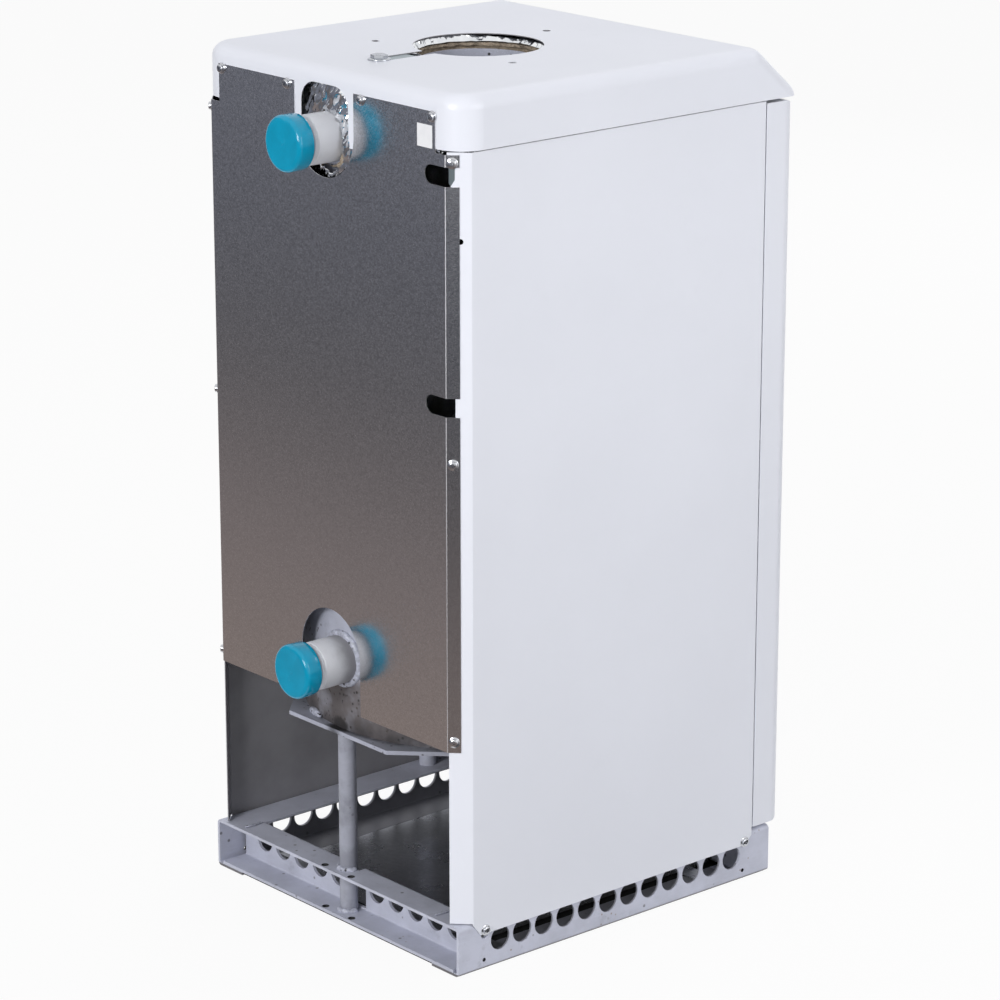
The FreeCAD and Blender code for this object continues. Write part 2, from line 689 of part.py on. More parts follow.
def burner_tunnel():
    end = TUNNEL_FRONT + TUNNEL_LENGTH
    outer = box(-TUNNEL_HALF, TUNNEL_HALF, TUNNEL_FRONT, end, TUNNEL_BOTTOM, TUNNEL_TOP)
    inner = box(
        -TUNNEL_HALF + TUNNEL_WALL, TUNNEL_HALF - TUNNEL_WALL, TUNNEL_FRONT - 1, end + 1,
        TUNNEL_BOTTOM + TUNNEL_WALL, TUNNEL_TOP - TUNNEL_WALL,
    )
    return outer.cut(inner)


def nipple(z):
    """A pipe stub with a cut thread at its end, along +Y."""
    start = VESSEL_RADIUS - VESSEL_WALL - NIPPLE_INSIDE
    thread = NIPPLE_END - NIPPLE_THREAD
    points = [(NIPPLE_BORE, start), (NIPPLE_RADIUS, start), (NIPPLE_RADIUS, thread)]
    y = thread
    while y + THREAD_PITCH < NIPPLE_END - 1:
        points.append((NIPPLE_RADIUS - THREAD_DEPTH, y + THREAD_PITCH / 2))
        points.append((NIPPLE_RADIUS - 0.1, y + THREAD_PITCH))
        y += THREAD_PITCH
    points += [(NIPPLE_RADIUS - THREAD_DEPTH, NIPPLE_END), (NIPPLE_BORE, NIPPLE_END)]
    return turned(points, Vector(0, 0, z), Vector(0, 1, 0))


def cap(z):
    """A push-on cup over the nipple's thread."""
    bore = NIPPLE_RADIUS + 0.3
    rim = CAP_FACE - CAP_LENGTH
    inner = NIPPLE_END + 0.3
    points = [(bore, rim), (CAP_RADIUS, rim), (CAP_RADIUS, CAP_FACE - CAP_EDGE)]
    for i in range(1, 6):
        angle = i * math.pi / 10
        points.append((
            CAP_RADIUS - CAP_EDGE + CAP_EDGE * math.cos(angle),
            CAP_FACE - CAP_EDGE + CAP_EDGE * math.sin(angle),
        ))
    points += [(0, CAP_FACE), (0, inner), (bore, inner)]
    return turned(points, Vector(0, 0, z), Vector(0, 1, 0))


def weld_beads():
    beads = []
    vessel = rod(VESSEL_RADIUS + 0.01, Vector(0, 0, PLATE_TOP), Vector(0, 0, VESSEL_TOP + VESSEL_HEADROOM))
    for z in (SUPPLY_HEIGHT, RETURN_HEIGHT):
        ring = Part.makeTorus(
            NIPPLE_RADIUS + 1.5, WELD_RADIUS, Vector(0, VESSEL_RADIUS - 1, z), Vector(0, 1, 0)
        )
        hole = rod(NIPPLE_RADIUS + CLEAR, Vector(0, 0, z), Vector(0, NIPPLE_END, z))
        beads.append(ring.cut(vessel).cut(hole))
    ring = Part.makeTorus(POST_RADIUS + 0.8, 2.2, Vector(0, POST_Y, RAIL_TOP), Vector(0, 0, 1))
    ring = ring.cut(rod(POST_RADIUS + CLEAR, Vector(0, POST_Y, 0), Vector(0, POST_Y, RAIL_TOP + 20)))
    reach = 3 * POST_RADIUS
    wall = box(-reach, reach, REAR_WEB - reach, REAR_Y + reach, RAIL_BOTTOM, RAIL_TOP)
    notch = box(-reach, reach, REAR_WEB - reach, POST_Y - POST_NOTCH_INSET, RAIL_TOP - 1, RAIL_TOP + 20)
    beads.append(ring.cut(wall).cut(notch))
    for x in (-FLANGE_EDGE, FLANGE_EDGE):
        for y0, y1 in ((REAR_WEB + 4, REAR_Y - 3), (FRONT_Y + 3, FRONT_Y + END_FLANGE - 4)):
            bead = rod(2.2, Vector(x, y0, RAIL_TOP), Vector(x, y1, RAIL_TOP))
            beads.append(bead.cut(box(x - 5, x + 5, y0 - 5, y1 + 5, RAIL_TOP - 6, RAIL_TOP)))
    return Part.makeCompound(beads)


def insulation_wrap():
    inner = VESSEL_RADIUS + 0.4
    height = VESSEL_TOP - WOOL_BOTTOM
    wrap = ring_plate(inner + WOOL_THICKNESS, inner, WOOL_BOTTOM, VESSEL_TOP)
    reach = 2 * VESSEL_RADIUS
    half = reach * math.tan(math.radians(WOOL_GAP_DEGREES / 2))
    gap = prism([(0, 0), (half, -reach), (-half, -reach)], at_xy(WOOL_BOTTOM - 1), Vector(0, 0, height + 2))
    z = SUPPLY_HEIGHT
    hole = rod(NIPPLE_RADIUS + WOOL_PIPE_GAP, Vector(0, 0, z), Vector(0, NIPPLE_END, z))
    return wrap.cut(gap).cut(hole)


def insulation_top():
    return ring_plate(VESSEL_RADIUS + WOOL_LAP, WOOL_FLUE_RADIUS, VESSEL_TOP + FIT, WOOL_TOP)


def flange_spot(z, side, outward):
    """A point on a rear corner flange, the given distance outside the side panel's flange."""
    run = PANEL_FLANGE * DIAGONAL / 2
    x = PANEL_FOLD + run
    shift = (x + REAR_Y - run - SIDE_PLANE) / 2 - outward * DIAGONAL
    return Vector(side * (x - shift), REAR_Y - run - shift, z)


def flange_way(side):
    return Vector(side * DIAGONAL, DIAGONAL, 0)


def flange_hole(z, side, radius):
    spot = flange_spot(z, side, 0)
    return rod(radius, spot - flange_way(side) * 4, spot + flange_way(side) * 6)


def top_screw_holes(radius):
    holes = []
    for x in TOP_SCREW_XS:
        start = Vector(x, COVER_REAR - 5, TOP_SCREW_Z)
        holes.append(rod(radius, start, Vector(x, REAR_Y + 5, TOP_SCREW_Z)))
    return holes


def side_panel(side):
    """A side of the casing with a folded front return and a 45 degree rear flange."""
    edge_y = SIDE_PLANE - CASING_X
    end_y = REAR_Y - CASING_SHEET - 1.0
    points = [
        (CASING_X - SIDE_RETURN, SIDE_FRONT),
        (CASING_X, SIDE_FRONT),
        (CASING_X, edge_y),
        (SIDE_PLANE - end_y, end_y),
    ]
    run = Vector(0, 0, SIDE_TOP - SIDE_BOTTOM)
    panel = bent_sheet(points, CASING_SHEET, CASING_BEND, at_xy(SIDE_BOTTOM), run)
    inside = CASING_X - CASING_SHEET
    shelf = box(
        inside - SIDE_TOP_RETURN, inside + 0.2, SIDE_FRONT + 6, edge_y - 6, SIDE_TOP - CASING_SHEET, SIDE_TOP
    )
    panel = fused([panel, shelf])
    low = SIDE_BOTTOM - 1
    rear_cut = [
        (edge_y - SIDE_REAR_CHAMFER, low), (edge_y - SIDE_REAR_CHAMFER, SIDE_BOTTOM),
        (edge_y, SIDE_BOTTOM + SIDE_REAR_RISE),
        (edge_y, SIDE_FLANGE_BOTTOM), (REAR_Y + 9, SIDE_FLANGE_BOTTOM), (REAR_Y + 9, low),
    ]
    front_cut = [
        (SIDE_FRONT + SIDE_FRONT_CHAMFER, low), (SIDE_FRONT + SIDE_FRONT_CHAMFER, SIDE_BOTTOM),
        (SIDE_FRONT + 1.5, SIDE_BOTTOM + SIDE_FRONT_RISE),
        (SIDE_FRONT + 1.5, DOOR_BOTTOM), (SIDE_FRONT - 9, DOOR_BOTTOM), (SIDE_FRONT - 9, low),
    ]
    over = Vector(CASING_X + 20, 0, 0)
    cuts = [prism(rear_cut, at_yz(1), over), prism(front_cut, at_yz(1), over)]
    for y, z in side_screw_spots():
        cuts.append(rod(SCREW_SHANK + CLEAR, Vector(inside - 3, y, z), Vector(CASING_X + 3, y, z)))
    cuts += [flange_hole(z, 1, SCREW_SHANK + CLEAR) for z in FLANGE_SCREW_ZS]
    spot = Vector(CASING_X - PEG_HOLE_INSET, edge_y + PEG_HOLE_INSET, SIDE_TOP - PEG_HOLE_DROP)
    cuts.append(rod(PEG_HOLE_RADIUS, spot - flange_way(1) * 6, spot + flange_way(1) * 6))
    panel = cut_all(panel, cuts)
    return panel if side > 0 else mirror_x(cut_all(panel, flange_slots()))


def flange_slots():
    """Cut-outs in a side panel's rear flange, behind the slots of the rear panel."""
    edge = REAR_Y - PANEL_FLANGE * DIAGONAL + SIDE_SLOT_EDGE
    far = REAR_Y + 5
    cuts = []
    for z, chamfer in zip(SLOT_HEIGHTS, (SIDE_SLOT_CHAMFER, 0)):
        low = z - SLOT_RADIUS - FIT
        high = z + SLOT_RADIUS + FIT
        rise = low + SIDE_SLOT_CHAMFER_RISE
        corners = [(edge, high), (far, high), (far, low), (edge + chamfer, low)]
        if chamfer:
            corners.append((edge, rise))
        cuts.append(prism(corners, at_yz(1), Vector(CASING_X + 20, 0, 0)))
    return cuts


def rear_panel():
    """The galvanised rear sheet, notched for both pipes, with two open slots on its left edge."""
    run = PANEL_FLANGE * DIAGONAL
    points = [
        (PANEL_FOLD + run, REAR_Y - run),
        (PANEL_FOLD, REAR_Y),
        (-PANEL_FOLD, REAR_Y),
        (-PANEL_FOLD - run, REAR_Y - run),
    ]
    height = PANEL_TOP - PANEL_BOTTOM
    panel = bent_sheet(points, CASING_SHEET, CASING_BEND, at_xy(PANEL_BOTTOM), Vector(0, 0, height))
    y0 = REAR_Y - 40
    y1 = REAR_Y + 10
    wide = HALF_WIDTH + 20
    low = PANEL_BOTTOM - 5
    high = PANEL_TOP + 5
    cuts = [
        box(PANEL_STEP_HALF, wide, y0, y1, PANEL_STEP, high),
        box(-wide, -PANEL_STEP_HALF, y0, y1, PANEL_STEP, high),
        box(-NOTCH_HALF, NOTCH_HALF, y0, y1, NOTCH_CENTRE, high),
        rod(NOTCH_HALF, Vector(0, y0, NOTCH_CENTRE), Vector(0, y1, NOTCH_CENTRE)),
        box(-ARCH_RADIUS, ARCH_RADIUS, y0, y1, low, ARCH_CENTRE),
        rod(ARCH_RADIUS, Vector(0, y0, ARCH_CENTRE), Vector(0, y1, ARCH_CENTRE)),
    ]
    for z in SLOT_HEIGHTS:
        x = -SLOT_END - SLOT_RADIUS
        cuts.append(box(-wide, x, y0, y1, z - SLOT_RADIUS, z + SLOT_RADIUS))
        cuts.append(rod(SLOT_RADIUS, Vector(x, y0, z), Vector(x, y1, z)))
    cuts += top_screw_holes(SCREW_SHANK + CLEAR)
    for side in (-1, 1):
        cuts += [flange_hole(z, side, SCREW_SHANK + CLEAR) for z in FLANGE_SCREW_ZS]
    return cut_all(panel, cuts)


def screw(spot, way, shank, length):
    """A pan-head screw with its head against the spot, pointing back along the way."""
    head = [
        (0, -length), (shank, -length), (shank, 0), (SCREW_HEAD, 0), (SCREW_HEAD, 0.7),
        (SCREW_HEAD - 1.0, 0.9), (SCREW_HEAD - 1.5, SCREW_HEAD_RISE - 1.0),
        (SCREW_HEAD - 2.6, SCREW_HEAD_RISE - 0.3), (0, SCREW_HEAD_RISE),
    ]
    return turned(head, spot, way)


def rear_panel_screws():
    screws = [screw(Vector(x, REAR_Y, TOP_SCREW_Z), Vector(0, 1, 0), SCREW_SHANK, SCREW_LENGTH) for x in TOP_SCREW_XS]
    for side in (-1, 1):
        for z in FLANGE_SCREW_ZS:
            spot = flange_spot(z, side, FIT + CASING_SHEET)
            screws.append(screw(spot, flange_way(side), SCREW_SHANK, SCREW_LENGTH))
    return Part.makeCompound(screws)


def flange_spring_nut():
    """A flat spring nut behind the left flange screw next to the upper slot."""
    way = flange_way(1)
    along = Vector(way.y, -way.x, 0)
    spot = flange_spot(FLANGE_SCREW_ZS[-1], 1, -CASING_SHEET)
    half = SPRING_NUT_WIDTH / 2
    corners = [
        (-half, SPRING_NUT_RISE), (half, SPRING_NUT_RISE), (half, -SPRING_NUT_DROP), (-half, -SPRING_NUT_DROP),
    ]
    back = way * -SPRING_NUT_SHEET
    strip = prism(corners, lambda u, v: spot + along * u + Vector(0, 0, v), back)
    end = spot - Vector(0, 0, SPRING_NUT_DROP)
    strip = fused([strip, rod(half, end, end + back)])
    return mirror_x(strip.cut(rod(SCREW_SHANK + CLEAR, spot - way * 6, spot + way * 6)))


def side_panel_screws():
    screws = []
    for side in (-1, 1):
        for y, z in side_screw_spots():
            screws.append(screw(Vector(side * CASING_X, y, z), Vector(side, 0, 0), SCREW_SHANK, SCREW_LENGTH + 1))
    return Part.makeCompound(screws)


def cover_profile(inset):
    """The cover's side outline, every edge moved inwards, from the rear foot round to the front foot."""
    slope = Vector(COVER_FRONT - COVER_SLOPE_START, COVER_BOTTOM + COVER_LIP - TOTAL_HEIGHT, 0)
    steep = slope.y / slope.x
    shift = inset * math.sqrt(1 + steep * steep)
    top = TOTAL_HEIGHT - inset
    front = COVER_FRONT + inset
    start = COVER_SLOPE_START + (shift - inset) / steep
    return [
        (COVER_REAR - inset, COVER_BOTTOM),
        (COVER_REAR - inset, top),
        (start, top),
        (front, TOTAL_HEIGHT + (front - COVER_SLOPE_START) * steep - shift),
        (front, COVER_BOTTOM),
    ]


def cover_block(inset):
    half = COVER_HALF_WIDTH - inset
    profile = cover_profile(inset)
    block = prism(profile, at_yz(-half), Vector(2 * half, 0, 0))
    rear = profile[0][0]
    start = profile[2][0]
    front = profile[3][0]

    def corner(edge):
        return abs(edge.CenterOfMass.y - rear) < 0.01 and abs(abs(edge.CenterOfMass.x) - half) < 0.01

    def bend(edge):
        return all(abs(v.Y - start) < 0.01 for v in edge.Vertexes)

    def rim(edge):
        spots = [v.Point for v in edge.Vertexes]
        low = any(p.z < COVER_BOTTOM + 0.01 for p in spots)
        across = abs(spots[0].x - spots[-1].x) > half and spots[0].y < rear - 1
        return not low and not across

    def lip(edge):
        spots = [v.Point for v in edge.Vertexes]
        return all(abs(p.y - front) < 0.01 for p in spots) and any(p.z > COVER_BOTTOM + 0.01 for p in spots)

    block = block.makeFillet(COVER_CORNER - inset, [e for e in block.Edges if corner(e)])
    block = block.makeFillet(COVER_SLOPE_BEND - inset, [e for e in block.Edges if bend(e)])
    block = block.makeFillet(COVER_EDGE - inset, [e for e in block.Edges if rim(e)])
    return block.makeFillet(COVER_LIP_EDGE - inset, [e for e in block.Edges if lip(e)])


def top_cover():
    sheet = CASING_SHEET
    inner = cover_block(sheet)
    shell = cover_block(0).cut(inner)
    tongue = box(-TONGUE_HALF, TONGUE_HALF, COVER_REAR - sheet, COVER_REAR, TONGUE_BOTTOM, COVER_BOTTOM + 1)
    shell = fused([shell, tongue])
    y0 = COVER_REAR - 6
    y1 = COVER_REAR + 6
    low = TONGUE_BOTTOM - 5
    corner_x = TONGUE_SLOT_HALF - TONGUE_SLOT_CORNER
    corner_z = TONGUE_SLOT_TOP - TONGUE_SLOT_CORNER
    cuts = [
        box(-TONGUE_SLOT_HALF, TONGUE_SLOT_HALF, y0, y1, low, corner_z),
        box(-corner_x, corner_x, y0, y1, low, TONGUE_SLOT_TOP),
    ]
    for x in (-corner_x, corner_x):
        cuts.append(rod(TONGUE_SLOT_CORNER, Vector(x, y0, corner_z), Vector(x, y1, corner_z)))
    z0 = TOTAL_HEIGHT - 5
    z1 = TOTAL_HEIGHT + 5
    cuts.append(rod(FLUE_HOLE_RADIUS, Vector(0, 0, z0), Vector(0, 0, z1)))
    cuts.append(box(-COVER_SLOT_HALF, COVER_SLOT_HALF, 0, COVER_SCREW_Y, z0, z1))
    cuts.append(rod(COVER_SLOT_HALF, Vector(0, COVER_SCREW_Y, z0), Vector(0, COVER_SCREW_Y, z1)))
    for i in range(3):
        angle = math.radians(VENT_START_DEGREES + 120 * i)
        x = VENT_CIRCLE * math.cos(angle)
        y = VENT_CIRCLE * math.sin(angle)
        cuts.append(rod(VENT_HOLE_RADIUS, Vector(x, y, z0), Vector(x, y, z1)))
    cuts += top_screw_holes(SCREW_SHANK + CLEAR)
    return cut_all(shell, cuts)


def cover_screw():
    z = TOTAL_HEIGHT
    centre = Vector(0, COVER_SCREW_Y, z)
    shank = COVER_SCREW_SHANK
    low = -COVER_SCREW_LENGTH
    rim = COVER_SCREW_FLANGE
    flange = turned(
        [(0, low), (shank, low), (shank, 0), (rim, 0), (rim, 1.0), (rim - 2.5, 2.2), (0, 2.2)],
        centre, Vector(0, 0, 1),
    )
    head = []
    for i in range(6):
        angle = math.radians(60 * i + 12)
        head.append((COVER_SCREW_HEAD * math.cos(angle), COVER_SCREW_Y + COVER_SCREW_HEAD * math.sin(angle)))
    return fused([flange, prism(head, at_xy(z + 1.5), Vector(0, 0, COVER_SCREW_RISE))])


def cover_nut_plate():
    top = TOTAL_HEIGHT - CASING_SHEET
    wide = NUT_PLATE_WIDTH / 2
    rear = COVER_SCREW_Y + NUT_PLATE_DEPTH / 2
    plate = box(-wide, wide, COVER_SCREW_Y - NUT_PLATE_REACH, rear, top - NUT_PLATE_SHEET, top)
    return plate.cut(rod(COVER_SCREW_SHANK + CLEAR, Vector(0, COVER_SCREW_Y, 0), Vector(0, COVER_SCREW_Y, top + 5)))


def blank_label():
    x = -PANEL_STEP_HALF + LABEL_INSET
    z = PANEL_TOP - LABEL_DROP
    return box(x, x + LABEL_SIDE, REAR_Y, REAR_Y + LABEL_THICKNESS, z - LABEL_SIDE, z)


def front_crossbar():
    y = SIDE_FRONT + CASING_SHEET + FIT
    half = CASING_X - CASING_SHEET - 1.5
    top = SIDE_TOP - CASING_SHEET - CROSSBAR_DROP
    low = top - CROSSBAR_HEIGHT
    points = [(y, low), (y, top), (y + CROSSBAR_DEPTH, top)]
    run = Vector(2 * (half - SIDE_RETURN - 2), 0, 0)
    bar = bent_sheet([(u, v) for u, v in reversed(points)], CROSSBAR_SHEET, CASING_BEND, at_yz(-run.x / 2), run)
    tabs = [box(run.x / 2 - 2, half, y, y + CROSSBAR_SHEET, low, top - 10)]
    tabs.append(mirror_x(tabs[0]))
    return fused([bar] + tabs)


def hinge_brackets():
    top = max(DOOR_TOP + HINGE_GAP, SIDE_TOP + FIT)
    inside = SIDE_FRONT + CASING_SHEET + FIT
    rear = inside + HINGE_SHEET
    upper = box(HINGE_X - 8, HINGE_X + 4, HINGE_Y - 5.5, rear, top, top + HINGE_SHEET)
    leg = box(HINGE_X - 8, HINGE_X + 1.5, inside, rear, SIDE_TOP - HINGE_LEG, top + HINGE_SHEET)
    upper = fused([upper, leg])
    lower = box(HINGE_X - 10, HINGE_X + 3.5, HINGE_Y - 5.5, SIDE_FRONT + 6, RAIL_TOP, RAIL_TOP + LOWER_HINGE_SHEET)
    bore = rod(HINGE_PIN + CLEAR, Vector(HINGE_X, HINGE_Y, 0), Vector(HINGE_X, HINGE_Y, TOTAL_HEIGHT))
    return Part.makeCompound([upper.cut(bore), lower.cut(bore)])


def hinge_pins():
    top = max(DOOR_TOP + HINGE_GAP, SIDE_TOP + FIT) + HINGE_SHEET
    reach = HINGE_PIN_REACH
    upper = rod(HINGE_PIN, Vector(HINGE_X, HINGE_Y, DOOR_TOP - reach), Vector(HINGE_X, HINGE_Y, top))
    lower = rod(HINGE_PIN, Vector(HINGE_X, HINGE_Y, RAIL_TOP), Vector(HINGE_X, HINGE_Y, DOOR_BOTTOM + reach))
    return Part.makeCompound([upper, lower])


def door_bushes():
    """Flanged sleeves in the door's top and bottom walls, each turning on a pin."""
    bore = HINGE_PIN + RUNNING
    low = -BUSH_LENGTH
    sleeve = [
        (bore, low), (BUSH_RADIUS, low), (BUSH_RADIUS, 0), (BUSH_FLANGE, 0), (BUSH_FLANGE, BUSH_RIM), (bore, BUSH_RIM),
    ]
    upper = turned(sleeve, Vector(HINGE_X, HINGE_Y, DOOR_TOP), Vector(0, 0, 1))
    lower = turned(sleeve, Vector(HINGE_X, HINGE_Y, DOOR_BOTTOM), Vector(0, 0, -1))
    return Part.makeCompound([upper, lower])


def door_magnet():
    x = -CASING_X + 2
    half = MAGNET_LENGTH / 2
    return box(x, x + DOOR_LIP, DOOR_REAR + 0.3, SIDE_FRONT, HANDLE_HEIGHT - half, HANDLE_HEIGHT + half)


def door_block(inset):
    half = CASING_X - inset
    front = DOOR_FRONT + inset
    low = DOOR_BOTTOM + inset
    high = DOOR_TOP - inset
    block = box(-half, half, front, DOOR_REAR + inset * 10, low, high)

    def on_front(edge):
        return all(abs(v.Y - front) < 0.01 for v in edge.Vertexes)

    return block.makeFillet(DOOR_EDGE - inset, [e for e in block.Edges if on_front(e)])


def door_panel():
    sheet = CASING_SHEET
    shell = door_block(0).cut(door_block(sheet))
    lip = box(-CASING_X, -CASING_X + DOOR_LIP, DOOR_REAR - sheet, DOOR_REAR, DOOR_BOTTOM, DOOR_TOP)
    hinge_lip = box(CASING_X - HINGE_LIP, CASING_X, DOOR_REAR - sheet, DOOR_REAR, DOOR_BOTTOM, DOOR_TOP)
    lap = box(-CASING_X, -CASING_X + sheet, DOOR_REAR - sheet, DOOR_REAR + DOOR_REAR_LAP, DOOR_BOTTOM, DOOR_TOP)
    shell = fused([shell, lip, hinge_lip, lap])
    cuts = [rod(BUSH_RADIUS + CLEAR, Vector(HINGE_X, HINGE_Y, 0), Vector(HINGE_X, HINGE_Y, TOTAL_HEIGHT))]
    y0 = DOOR_FRONT - 5
    y1 = DOOR_FRONT + 5
    cuts.append(rod(WINDOW_RADIUS, Vector(0, y0, WINDOW_HEIGHT), Vector(0, y1, WINDOW_HEIGHT)))
    cuts.append(handle_box(y0, y1, 0))
    return cut_all(shell, cuts)


def handle_box(y0, y1, inset):
    half = HANDLE_WIDTH / 2 - inset
    reach = HANDLE_LENGTH / 2 - inset
    return box(HANDLE_X - half, HANDLE_X + half, y0, y1, HANDLE_HEIGHT - reach, HANDLE_HEIGHT + reach)


def door_handle_cup():
    """A finger cup let into the door's free side."""
    flange = handle_box(DOOR_FRONT - HANDLE_RIM_RISE, DOOR_FRONT, -HANDLE_RIM)
    cup = handle_box(DOOR_FRONT, DOOR_FRONT + HANDLE_DEPTH, 0.1)
    floor = DOOR_FRONT + HANDLE_DEPTH - HANDLE_WALL
    return fused([flange, cup]).cut(handle_box(DOOR_FRONT - 5, floor, HANDLE_WALL + 0.1))


def window_bezel():
    centre = Vector(0, DOOR_FRONT, WINDOW_HEIGHT)
    outer = WINDOW_RADIUS - 0.1
    inner = outer - BEZEL_WALL
    rim = WINDOW_RADIUS + BEZEL_RIM
    points = [
        (inner, -BEZEL_RISE), (rim - 1, -BEZEL_RISE), (rim, -0.6), (rim, 0),
        (outer, 0), (outer, BEZEL_DEPTH), (inner, BEZEL_DEPTH),
    ]
    return turned(points, centre, Vector(0, 1, 0))


def window_lens():
    y = DOOR_FRONT + 1
    radius = WINDOW_RADIUS - 0.1 - BEZEL_WALL - CLEAR
    return rod(radius, Vector(0, y, WINDOW_HEIGHT), Vector(0, y + LENS_THICKNESS, WINDOW_HEIGHT))


def burner_xs():
    return (-BURNER_PITCH, 0, BURNER_PITCH)


def lead_xs():
    return (-BURNER_PITCH / 2, BURNER_PITCH / 2 - LEAD_STEP, BURNER_PITCH / 2 + LEAD_STEP)


def burner_plate():
    margin = BURNER_PLATE_MARGIN
    plate = box(
        -TUNNEL_HALF - margin, TUNNEL_HALF + margin, BURNER_FRONT, TUNNEL_FRONT,
        TUNNEL_BOTTOM - 4, TUNNEL_TOP + margin,
    )
    y0 = BURNER_FRONT - 5
    y1 = TUNNEL_FRONT + 5
    cuts = [rod(BURNER_RADIUS + CLEAR, Vector(x, y0, BURNER_Z), Vector(x, y1, BURNER_Z)) for x in burner_xs()]
    cuts.append(rod(PEEPHOLE_RADIUS, Vector(PEEPHOLE_X, y0, PEEPHOLE_Z), Vector(PEEPHOLE_X, y1, PEEPHOLE_Z)))
    z = PEEPHOLE_Z + FLAP_ARM
    cuts.append(rod(RIVET_RADIUS + RUNNING, Vector(PEEPHOLE_X, y0, z), Vector(PEEPHOLE_X, y1, z)))
    for x in lead_xs():
        cuts.append(rod(SLEEVE_RADIUS + CLEAR, Vector(x, y0, lead_z()), Vector(x, y1, lead_z())))
    brackets = []
    for x in (-BURNER_PITCH / 2, BURNER_PITCH / 2):
        top = BURNER_Z - MANIFOLD_RADIUS
        arm = box(x - 5, x + 5, MANIFOLD_Y - 5, BURNER_FRONT, top - BURNER_PLATE_THICKNESS, top)
        brackets.append(arm)
    return fused([cut_all(plate, cuts)] + brackets)


def lead_z():
    return BURNER_Z + BURNER_RADIUS + LEAD_RISE


def burner_tubes():
    """Slotted flame tubes, open to the air at the front and closed at the far end."""
    tubes = []
    start = BURNER_FRONT
    end = BURNER_END
    for x in burner_xs():
        body = rod(BURNER_RADIUS, Vector(x, start, BURNER_Z), Vector(x, end, BURNER_Z))
        bore = BURNER_RADIUS - BURNER_WALL
        body = body.cut(rod(bore, Vector(x, start - 1, BURNER_Z), Vector(x, end - 2, BURNER_Z)))
        half = BURNER_SLIT_WIDTH / 2
        y = TUNNEL_FRONT + TUNNEL_LENGTH + 10
        slits = []
        while y < end - 12:
            slits.append(box(x - half, x + half, y, y + BURNER_SLIT, BURNER_Z + 4, BURNER_Z + BURNER_RADIUS + 2))
            y += BURNER_SLIT_PITCH
        tubes.append(cut_all(body, slits))
    return Part.makeCompound(tubes)


def manifold_x():
    return VALVE_LEFT + MANIFOLD_INSET


def gas_manifold():
    """The pipe from the valve's outlet down and across in front of the burner tubes."""
    end = -BURNER_PITCH - MANIFOLD_OVERRUN
    points = [
        Vector(manifold_x(), MANIFOLD_Y, VALVE_BOTTOM),
        Vector(manifold_x(), MANIFOLD_Y, BURNER_Z),
        Vector(end, MANIFOLD_Y, BURNER_Z),
    ]
    body = pipe(points, MANIFOLD_RADIUS, MANIFOLD_BEND)
    holes = []
    for x in burner_xs():
        y = MANIFOLD_Y + MANIFOLD_RADIUS - JET_SEAT
        holes.append(rod(JET_RADIUS, Vector(x, y, BURNER_Z), Vector(x, y + 9, BURNER_Z)))
    return cut_all(body, holes)


def gas_jets():
    jets = []
    for x in burner_xs():
        start = MANIFOLD_Y + MANIFOLD_RADIUS - JET_SEAT
        thread = JET_RADIUS - CLEAR
        tip = MANIFOLD_GAP - MANIFOLD_RADIUS - 1
        points = [
            (0.8, 0), (thread, 0), (thread, JET_SEAT + 0.6), (JET_HEX, JET_SEAT + 0.6), (JET_HEX, tip - 5.5),
            (3.2, tip - 4.5), (2.0, tip), (0.8, tip),
        ]
        jets.append(turned(points, Vector(x, start, BURNER_Z), Vector(0, 1, 0)))
    return Part.makeCompound(jets)


def gas_valve():
    rear = VALVE_FRONT + VALVE_DEPTH
    body = box(VALVE_LEFT, VALVE_RIGHT, VALVE_FRONT, rear, VALVE_BOTTOM, VALVE_TOP)
    upright = [e for e in body.Edges if abs(e.Vertexes[0].Z - e.Vertexes[1].Z) > 1]
    body = body.makeFillet(6, upright)
    spot = Vector(KNOB_X, VALVE_FRONT, KNOB_Z)
    cuts = [rod(SPINDLE_RADIUS + RUNNING, spot - Vector(0, 1, 0), spot + Vector(0, 12, 0))]
    spot = Vector(BUTTON_X, VALVE_FRONT, BUTTON_Z)
    cuts.append(rod(BUTTON_RADIUS + RUNNING, spot - Vector(0, 1, 0), spot + Vector(0, 14 + BUTTON_TRAVEL, 0)))
    body = cut_all(body, cuts)
    outlet = valve_port(manifold_x(), MANIFOLD_Y, OUTLET_NUT_HEIGHT)
    inlet = valve_port(inlet_x(), inlet_y(), INLET_NUT_HEIGHT)
    nuts = [tube(OUTLET_NUT_RADIUS, MANIFOLD_RADIUS + CLEAR, *outlet)]
    nuts[0] = nuts[0].common(box(VALVE_LEFT, VALVE_RIGHT, VALVE_FRONT, rear, 0, VALVE_TOP))
    nuts.append(tube(INLET_NUT_RADIUS, GAS_PIPE_RADIUS + CLEAR, *inlet))
    return fused([body] + nuts)


def valve_port(x, y, drop):
    return Vector(x, y, VALVE_BOTTOM - drop), Vector(x, y, VALVE_BOTTOM)


def inlet_x():
    return VALVE_RIGHT - INLET_INSET


def inlet_y():
    return VALVE_FRONT + VALVE_DEPTH / 2


def gas_inlet_pipe():
    """Down from the valve, then back to a threaded end that faces the rear bay."""
    points = [
        Vector(inlet_x(), inlet_y(), VALVE_BOTTOM),
        Vector(inlet_x(), inlet_y(), GAS_INLET_HEIGHT),
        Vector(inlet_x(), GAS_INLET_END, GAS_INLET_HEIGHT),
    ]
    return pipe(points, GAS_PIPE_RADIUS, INLET_BEND, GAS_PIPE_RADIUS - INLET_WALL)


def valve_spindle():
    start = Vector(KNOB_X, VALVE_FRONT + 10, KNOB_Z)
    return rod(SPINDLE_RADIUS, start, Vector(KNOB_X, KNOB_REAR - KNOB_LENGTH + 3 + KNOB_TRAVEL + 0.5, KNOB_Z))


